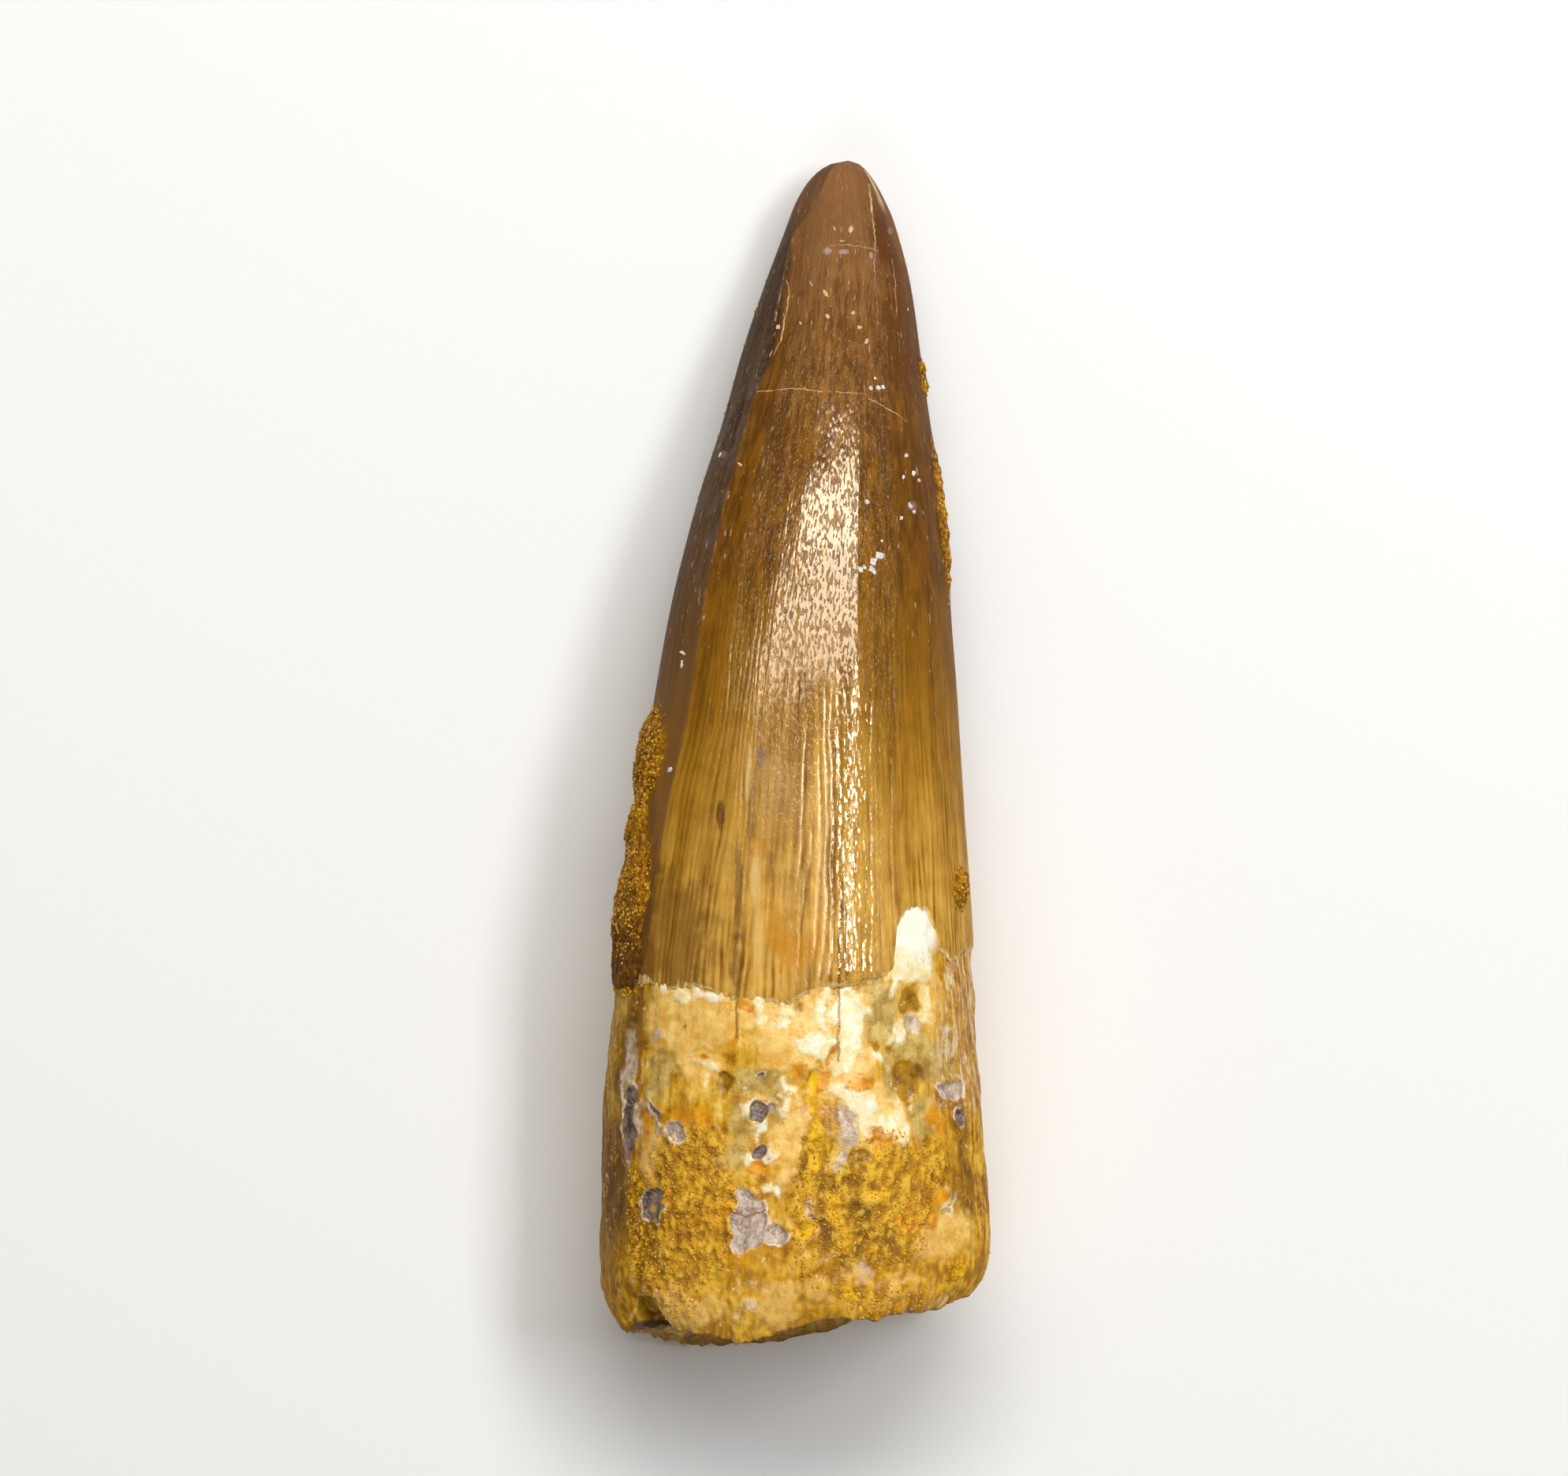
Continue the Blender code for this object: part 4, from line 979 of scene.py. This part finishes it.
# darker colour, lighter colour, how soft the edge is
PATCH_TONES = {
    "brown": ((0.14, 0.06, 0.001), (0.34, 0.155, 0.004), 0.3),
    "cream": ((0.8, 0.425, 0.07), (1, 0.68, 0.195), 0.35),
    "sage": ((0.38, 0.225, 0.03), (0.74, 0.525, 0.15), 0.25),
    "white": ((0.96, 0.74, 0.3), (1, 0.97, 0.74), 0.15),
    "sand": ((0.36, 0.155, 0), (0.8, 0.41, 0.004), 0.2),
    "olive": ((0.19, 0.085, 0), (0.54, 0.265, 0.004), 0.12),
    "orange": ((0.54, 0.2, 0), (0.9, 0.41, 0.008), 0.12),
    "yellow": ((0.66, 0.31, 0), (1, 0.6, 0.003), 0.12),
    "lilac": ((0.46, 0.31, 0.17), (0.94, 0.81, 0.62), 0.12),
}
FLAKE_TONES = {
    "flake": ((0.34, 0.245, 0.18), (0.72, 0.58, 0.46)),
    "chip": ((0.1, 0.064, 0.046), (0.33, 0.24, 0.185)),
}
# Dark cracks in the root, and the pale edges of the notch, seen from above: from, to, width
ROOT_CRACKS = (
    ((2.2, 20.6), (2.15, 16.2), 0.2), ((-3.1, 20), (-3.1, 17.4), 0.2),
    ((-8.05, 20.2), (-8.2, 14), 0.22), ((-3.3, 8.4), (-2.6, 8.15), 0.12),
    ((-2.6, 8.15), (-1.6, 8.5), 0.12), ((6.15, 4), (6.15, 2.8), 0.12),
)
NOTCH_EDGES = (
    ((-8.75, 2.4), (-8.4, 3), 0.3), ((-8.4, 3), (-8.3, 3.8), 0.16), ((-8.3, 3.8), (-7.4, 3.9), 0.14),
    ((-7.4, 3.9), (-6.45, 3), 0.14),
)
# The broken wall, the sediment in the hollow darkened with painted shade, and the shelf of the notch
BREAK_TONES = (
    (0.26, (0.13, 0.048, 0.002)), (0.44, (0.33, 0.15, 0.008)), (0.6, (0.56, 0.31, 0.04)),
    (0.8, (0.84, 0.6, 0.22)),
)
HOLLOW_FILL_AND_SHADE_TONES = (
    (0.28, (0.04, 0.014, 0.001)), (0.46, (0.15, 0.056, 0.003)), (0.62, (0.36, 0.16, 0.008)),
    (0.8, (0.66, 0.39, 0.05)),
)
SHELF_TONES = (
    (0.3, (0.24, 0.12, 0.004)), (0.52, (0.46, 0.25, 0.012)), (0.74, (0.66, 0.41, 0.06)),
)


def dentine_finish():
    """Fossil dentine with its stains, sand and flakes, and the break with its dark hollow."""
    finish, shader, start = new_finish("dentine")
    place = millimetres(start)
    flat = seen_from_above(place)
    grain = attribute(start, "grain", 1)
    across, level, height = part(place, 0), part(place, 2), part(grain, 2)
    side = attribute(start, "side")
    cream = attribute(start, "cream")
    blotches = cloud(place, 1.8, 4, 0.6)
    mottle = cloud(place, 0.55, 4, 0.65, 7)
    tones = cloud(place, 0.8, 3, 0.6, 19)
    speckle = cloud(place, 0.17, 2, 0.6, 11)
    lines = grain_cloud(grain, 0.26, 8, 3, 3)
    wide_lines = grain_cloud(grain, 0.9, 6, 2, 15)

    tone = 0.5 + 0.9 * blotches + 0.7 * mottle + 0.5 * lines + 0.08 * step(height, 9, 18)
    colour = ramp(tone + side * (0.9 * wide_lines + 0.6 * lines - 0.08), ROOT_TONES)
    inner = 0.55 * mottle + 0.3 * speckle
    for number, (kind, (darker, lighter, softness)) in enumerate(PATCH_TONES.items()):
        inside = step(attribute(start, kind) + inner, -softness, softness)
        tint = mix(step(tones + (0.5 if number % 2 else -0.5) * inner, -0.2, 0.2), darker, lighter)
        colour = mix(inside, colour, tint)

    # The dark left side, the dappled sides, the pale lines of the right one, and the grainy lower part
    leftmost = side * step(across, -6.4, -7.6) * (0.7 + 1.6 * mottle)
    dapple = cloud(place, 0.4, 4, 0.65, 51)
    rightmost = step(across, 6.8, 7.8) * step(height, 12.5, 14.5) * step(level, 5, 7)
    sand = step(attribute(start, "sand") + inner, -0.1, 0.2)
    gritty = attribute(start, "gritty") + 0.5 * speckle
    lowest = step(height, 8, 4.5) * (1 - 0.4 * step(cream, -0.1, 0.3))
    grainy = larger(sand, 0.8 * lowest * (1 - 0.7 * leftmost))
    colour = painted(
        colour,
        (leftmost * (0.55 + 0.35 * step(height, 14, 11)), (0.13, 0.052, 0.002)),
        (side * step(dapple, 0.02, 0.1) * 0.5, (0.15, 0.058, 0.004)),
        (side * step(dapple, -0.08, -0.14) * 0.5, (0.8, 0.46, 0.06)),
        (rightmost * step(lines + 0.5 * wide_lines, -0.14, 0) * 0.6, (0.4, 0.2, 0.06)),
        (rightmost * step(lines + 0.6 * mottle, 0.04, 0.12) * 0.6, (0.9, 0.7, 0.48)),
        (lowest * (1 - sand) * (0.45 + 1.2 * tones), (0.6, 0.27, 0.003)),
        (grainy * step(gritty, 0.02, 0.34) * 0.65, (0.92, 0.57, 0.045)),
        (grainy * step(gritty, -0.02, -0.34) * 0.55, (0.26, 0.112, 0.002)),
    )

    # Orange and whitish spots strewn between the stains
    spots = cloud(place, 0.7, 3, 0.6, 23)
    bare = (1 - sand) * (1 - 0.75 * step(cream, -0.3, 0.3)) * 0.55
    colour = mix(bare * step(spots, 0.12, 0.18), colour, (0.7, 0.3, 0.004))
    colour = mix(bare * step(spots, -0.15, -0.2), colour, (1, 0.82, 0.42))

    # Grey flakes, each with a pale rim on part of its edge, and the sand that lies on one of them
    rimmed = step(cloud(place, 0.9, 3, 0.6, 27), -0.06, 0.1) * 0.8
    for kind, (darker, lighter) in FLAKE_TONES.items():
        edge = attribute(start, kind) + 0.16 * mottle + 0.08 * speckle
        grey = mix(step(0.6 * mottle + 0.5 * speckle, -0.13, 0.13), darker, lighter)
        colour = mix(step(edge, -0.11, -0.05) * rimmed, colour, (0.95, 0.78, 0.6))
        colour = mix(step(edge, 0, 0.05), colour, grey)
    colour = mix(blob(flat, 0.3 * mottle, (-7.45, 8.4), 0.4, 0.46), colour, (0.62, 0.33, 0.06))

    # The chalky white of the chip in the enamel, and dark cracks
    chalk = blob(flat, 0.6 * mottle + 0.5 * lines, (6.2, 23.2), 2.7, 3.8)
    colour = mix(chalk * 0.9, colour, (1, 0.985, 0.84))
    on_top = step(level, 6, 8)
    for begin, end, width in ROOT_CRACKS:
        line = crack(flat, 0.4 * mottle, begin, end, width)
        colour = mix(line * on_top * 0.75, colour, (0.3, 0.115, 0.01))

    # Sand in the hollow and on the rim, darkened with painted shade in the hollow, the broken wall between
    # them, and the notch with its shelf; painted shadow fills the cavity under the shelf and the rim beside
    # it
    broken = attribute(start, "break")
    wall = ramp(0.53 + 0.9 * mottle + 0.7 * blotches + 0.3 * speckle, BREAK_TONES)
    # the hollow's sediment, darkened with painted shade
    fill = ramp(0.53 + 0.8 * mottle + 0.5 * tones + 0.4 * speckle, HOLLOW_FILL_AND_SHADE_TONES)
    colour = painted(
        colour,
        (broken, mix(step(attribute(start, "sunk") + 0.5 * mottle, 0.3, 0.6), wall, fill)),
        (attribute(start, "notch"), ramp(0.5 + mottle, SHELF_TONES)),
        # painted shadow: near-black colour under the shelf and along the rim beside the notch
        (attribute(start, "below_shelf"), (0.055, 0.018, 0.001)),
        (blob(flat, 0.3 * mottle, (-7.4, 2.1), 2.3, 0.75) * 0.9, (0.04, 0.014, 0.001)),
    )
    for begin, end, width in NOTCH_EDGES:
        colour = mix(crack(flat, 0.3 * mottle, begin, end, width) * 0.7, colour, (0.86, 0.56, 0.14))

    relief = 0.03 * lines + 0.06 * mottle + 0.025 * speckle + sand * (0.07 + 0.08 * speckle + 0.06 * mottle)
    shape = bumped(relief + broken * (0.09 + 0.1 * mottle + 0.08 * speckle))
    roughness = 0.34 + 0.5 * mottle + 0.4 * sand + 0.3 * broken
    connect(shader, {"Base Color": colour, "Roughness": roughness, "Normal": shape})
    duller(shader, step(side + 0.2 * mottle, 0.08, 0.45), colour, shape)
    return finish


root_columns = uneven_turn(320, 140)
root_edge = enamel_edge(root_columns)
root_rim = rim_height(root_columns)
shares = np.arange(ROOT_RINGS)[:, None] / (ROOT_RINGS - 1)
root_heights = (root_edge + 0.1) * (1 - shares) + root_rim * shares
root_grid = np.broadcast_to(root_columns, root_heights.shape)
root_points, root_marks = root_surface(root_grid, root_heights)

# The root goes on a little way inside the enamel, where it is closed
neck = turned_in(root_points[0], root_columns, root_edge, ((0.9, -1), (0.35, -0.2)))
break_points, sunk, out = break_surface(root_columns, root_points[-1])
root_rings = np.concatenate([neck, root_points, break_points]) + TO_FRAME
neck_middle = root_rings[0].mean(axis=0) + (0, 2, 0)
root_mesh = loft_mesh("root", root_rings, neck_middle, root_rings[-1].mean(axis=0))


def whole_root(values, on_break):
    """Values for every ring: those of the outside, repeated up the neck, and those of the break."""
    return np.concatenate([np.repeat(values[:1], len(neck), axis=0), values, on_break])


no_break = np.zeros(root_heights.shape)
on_break = np.zeros(sunk.shape)
for name, values in root_marks.items():
    beyond_rim = on_break - 1 if name in SEEN_PATCHES else 0.35 * sunk if name == "crumbs" else on_break
    store(root_mesh, name, whole_root(values, beyond_rim))
store(root_mesh, "side", whole_root(np.abs(np.cos(np.radians(root_grid))) ** 4, on_break))
store(root_mesh, "break", whole_root(no_break, smooth_step(1, 0.985, out)))
store(root_mesh, "sunk", whole_root(no_break, sunk))
break_grain = grain_vector(np.broadcast_to(root_columns, sunk.shape), break_points[..., 1], out)
store(root_mesh, "grain", whole_root(grain_vector(root_grid, root_heights), break_grain))
root = place_piece(root_mesh, dentine_finish())

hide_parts("tooth")
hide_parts("tooth")

# Sand grains: loose quartz and ochre crumbs that stuck in the crusts of the crown and the root.
# They are small rough stones scattered over the sandy places, at random sizes and turns.
GRAINS_PER_SQUARE_METRE = 13e6
GRAIN_SIZE = 0.085 * MM
SAND_TONES = (
    (0, (0.26, 0.1, 0.001)), (0.35, (0.52, 0.24, 0.004)), (0.7, (0.76, 0.44, 0.028)),
    (1, (0.92, 0.69, 0.25)),
)


def grain_finish():
    """Each crumb has a tone of its own, with a little mottling."""
    finish, shader, start = new_finish("sand_grain")
    place = millimetres(start)
    own = cloud(place, 0.3, 1, 0.5, 43)
    tone = 0.5 + 1.3 * own + 0.5 * cloud(place, 0.06)
    shape = bumped(0.02 * cloud(place, 0.05), 0.6)
    connect(shader, {"Base Color": ramp(tone, SAND_TONES), "Roughness": 0.55 + 0.4 * own, "Normal": shape})
    return finish


def grain_scatter(finish):
    """A node group that strews small stones over a mesh's sandy places and leaves the mesh itself out."""
    group = bpy.data.node_groups.new("grain_scatter", "GeometryNodeTree")
    face = group.interface
    face.new_socket("Bed", in_out="INPUT", socket_type="NodeSocketGeometry")
    for label, kind, value in (
        ("Density", "NodeSocketFloat", GRAINS_PER_SQUARE_METRE),
        ("Grain size", "NodeSocketFloat", GRAIN_SIZE),
        ("Seed", "NodeSocketInt", 5),
    ):
        face.new_socket(label, in_out="INPUT", socket_type=kind).default_value = value
    face.new_socket("Grains", in_out="OUTPUT", socket_type="NodeSocketGeometry")

    def add(kind, settings, inputs):
        node = group.nodes.new(kind)
        for name, setting in settings.items():
            setattr(node, name, setting)
        for name, value in inputs.items():
            if isinstance(value, bpy.types.NodeSocket):
                group.links.new(value, node.inputs[name])
            else:
                node.inputs[name].default_value = value
        return node.outputs

    def random_vector(limits):
        return add("FunctionNodeRandomValue", {"data_type": "FLOAT_VECTOR"}, limits)[0]

    given = add("NodeGroupInput", {}, {})
    crumbs = add("GeometryNodeInputNamedAttribute", {"data_type": "FLOAT"}, {"Name": "crumbs"})[0]
    spread = {"From Min": 0.12, "From Max": 0.45, "To Max": given["Density"], "Value": crumbs}
    density = add("ShaderNodeMapRange", {}, spread)[0]
    places = {"Mesh": given["Bed"], "Density": density, "Seed": given["Seed"]}
    strewn = add("GeometryNodeDistributePointsOnFaces", {"distribute_method": "RANDOM"}, places)["Points"]
    stone = add("GeometryNodeMeshIcoSphere", {}, {"Radius": given["Grain size"], "Subdivisions": 1})[0]
    turn = random_vector({"Max": (6.3, 6.3, 6.3), "Seed": 2})
    size = random_vector({"Min": (0.5, 0.5, 0.4), "Max": (1.5, 1.3, 1), "Seed": 3})
    stones = {"Points": strewn, "Instance": stone, "Rotation": turn, "Scale": size}
    stones = add("GeometryNodeInstanceOnPoints", {}, stones)[0]
    real = add("GeometryNodeRealizeInstances", {}, {"Geometry": stones})[0]
    finished = add("GeometryNodeSetMaterial", {}, {"Geometry": real, "Material": finish})[0]
    add("NodeGroupOutput", {}, {"Grains": finished})
    return group


stone_finish = grain_finish()
scatter = grain_scatter(stone_finish)
for bed_mesh in (crown_mesh, root_mesh):
    bed = bpy.data.objects.new("bed", bed_mesh.copy())
    bpy.context.scene.collection.objects.link(bed)
    bed.modifiers.new("grains", "NODES").node_group = scatter
    bpy.context.view_layer.update()
    strewn_mesh = bpy.data.meshes.new_from_object(bed.evaluated_get(bpy.context.evaluated_depsgraph_get()))
    strewn_mesh.name = bed_mesh.name + "_sand_grains"
    bpy.data.objects.remove(bed)
    place_piece(strewn_mesh, stone_finish)

# Mineral specks: a few whitish flakes of chalky mineral stuck to the enamel, each a thin uneven scale
# pressed against the surface.
SPECK_DEPTH = 0.05
HIGH_ABOVE = 50  # where the search for the surface starts
SPECKS = (
    # x, height, width, length, turn in degrees
    (4.39, 42.46, 0.52, 0.34, 50), (4.1, 42.12, 0.34, 0.5, 20), (4.05, 41.66, 0.44, 0.34, 20),
    (3.4, 41.72, 0.38, 0.28, 20), (3.62, 41.8, 0.22, 0.18, 0), (4.56, 43.2, 0.18, 0.16, 0),
    (3.8, 45.27, 0.3, 0.2, 30), (5.89, 47.8, 0.18, 0.32, 10), (5.73, 46.65, 0.2, 0.26, 20),
    (6.28, 46.85, 0.26, 0.34, 20), (6.56, 46.5, 0.2, 0.22, 0), (6.1, 45.1, 0.34, 0.24, 30),
    (6.3, 44.8, 0.2, 0.28, 0), (5.6, 44.45, 0.2, 0.22, 0), (4.39, 51.4, 0.28, 0.26, 0),
    (4.66, 51.45, 0.24, 0.2, 60), (4.02, 51.38, 0.24, 0.2, 0), (4.25, 51.9, 0.18, 0.16, 0),
    (-5.95, 36.75, 0.42, 0.22, 10), (-5.9, 37.35, 0.16, 0.6, -10), (-6.55, 31.2, 0.26, 0.5, 10),
    (-3.96, 47.9, 0.26, 0.22, 30), (-2.9, 47.3, 0.11, 0.34, 10), (-0.9, 54.7, 0.24, 0.24, 0),
    (3, 60.05, 0.2, 0.4, 0), (2.12, 60.07, 0.11, 0.24, 0), (2.52, 59.4, 0.3, 0.1, 0),
    (1.64, 56.5, 0.2, 0.44, 10), (1.73, 55.25, 0.2, 0.32, 20), (0.86, 57.05, 0.09, 0.34, 0),
    (0.29, 54.9, 0.14, 0.2, 0), (3.1, 55.45, 0.16, 0.26, 0), (3.8, 53.9, 0.18, 0.36, 0),
    (3.42, 54.65, 0.24, 0.24, 0), (6.05, 55.8, 0.16, 0.34, 0),
)


def speck_finish():
    """Chalky white mineral, a little greyer in places and brownish near the tip."""
    finish, shader, start = new_finish("mineral_speck")
    place = millimetres(start)
    patchy = cloud(place, 0.12, 3)
    colour = mix(step(patchy, -0.15, 0.15), (0.52, 0.46, 0.42), (0.9, 0.88, 0.84))
    colour = mix(step(part(seen_from_above(place), 1), 52, 54) * 0.8, colour, (0.62, 0.41, 0.22))
    shape = bumped(0.03 * patchy, 0.8)
    connect(shader, {"Base Color": colour, "Roughness": 0.65 + 0.3 * patchy, "Normal": shape})
    return finish


speck_builder = bmesh.new()
for number, (x, height, width, length, turned) in enumerate(SPECKS):
    above = Vector(((x + TO_FRAME[0]) * MM, (height + TO_FRAME[1]) * MM, HIGH_ABOVE * MM))
    _, point, outward, _ = crown.ray_cast(above, (0, 0, -1))
    placing = Matrix.Translation(point) @ outward.to_track_quat("Z", "Y").to_matrix().to_4x4()
    placing = placing @ Matrix.Rotation(np.radians(turned), 4, "Z")
    placing = placing @ Matrix.Diagonal((width / 2 * MM, length / 2 * MM, SPECK_DEPTH * MM, 1))
    made = bmesh.ops.create_icosphere(speck_builder, subdivisions=3, radius=1)["verts"]
    for corner in made:
        corner.co *= 1 + 0.7 * noise.noise(corner.co * 1.3 + Vector((number * 7, 0, 0)))
        corner.co = placing @ corner.co
speck_mesh = bpy.data.meshes.new("mineral_specks")
speck_builder.to_mesh(speck_mesh)
speck_builder.free()
speck_mesh.shade_smooth()
place_piece(speck_mesh, speck_finish())
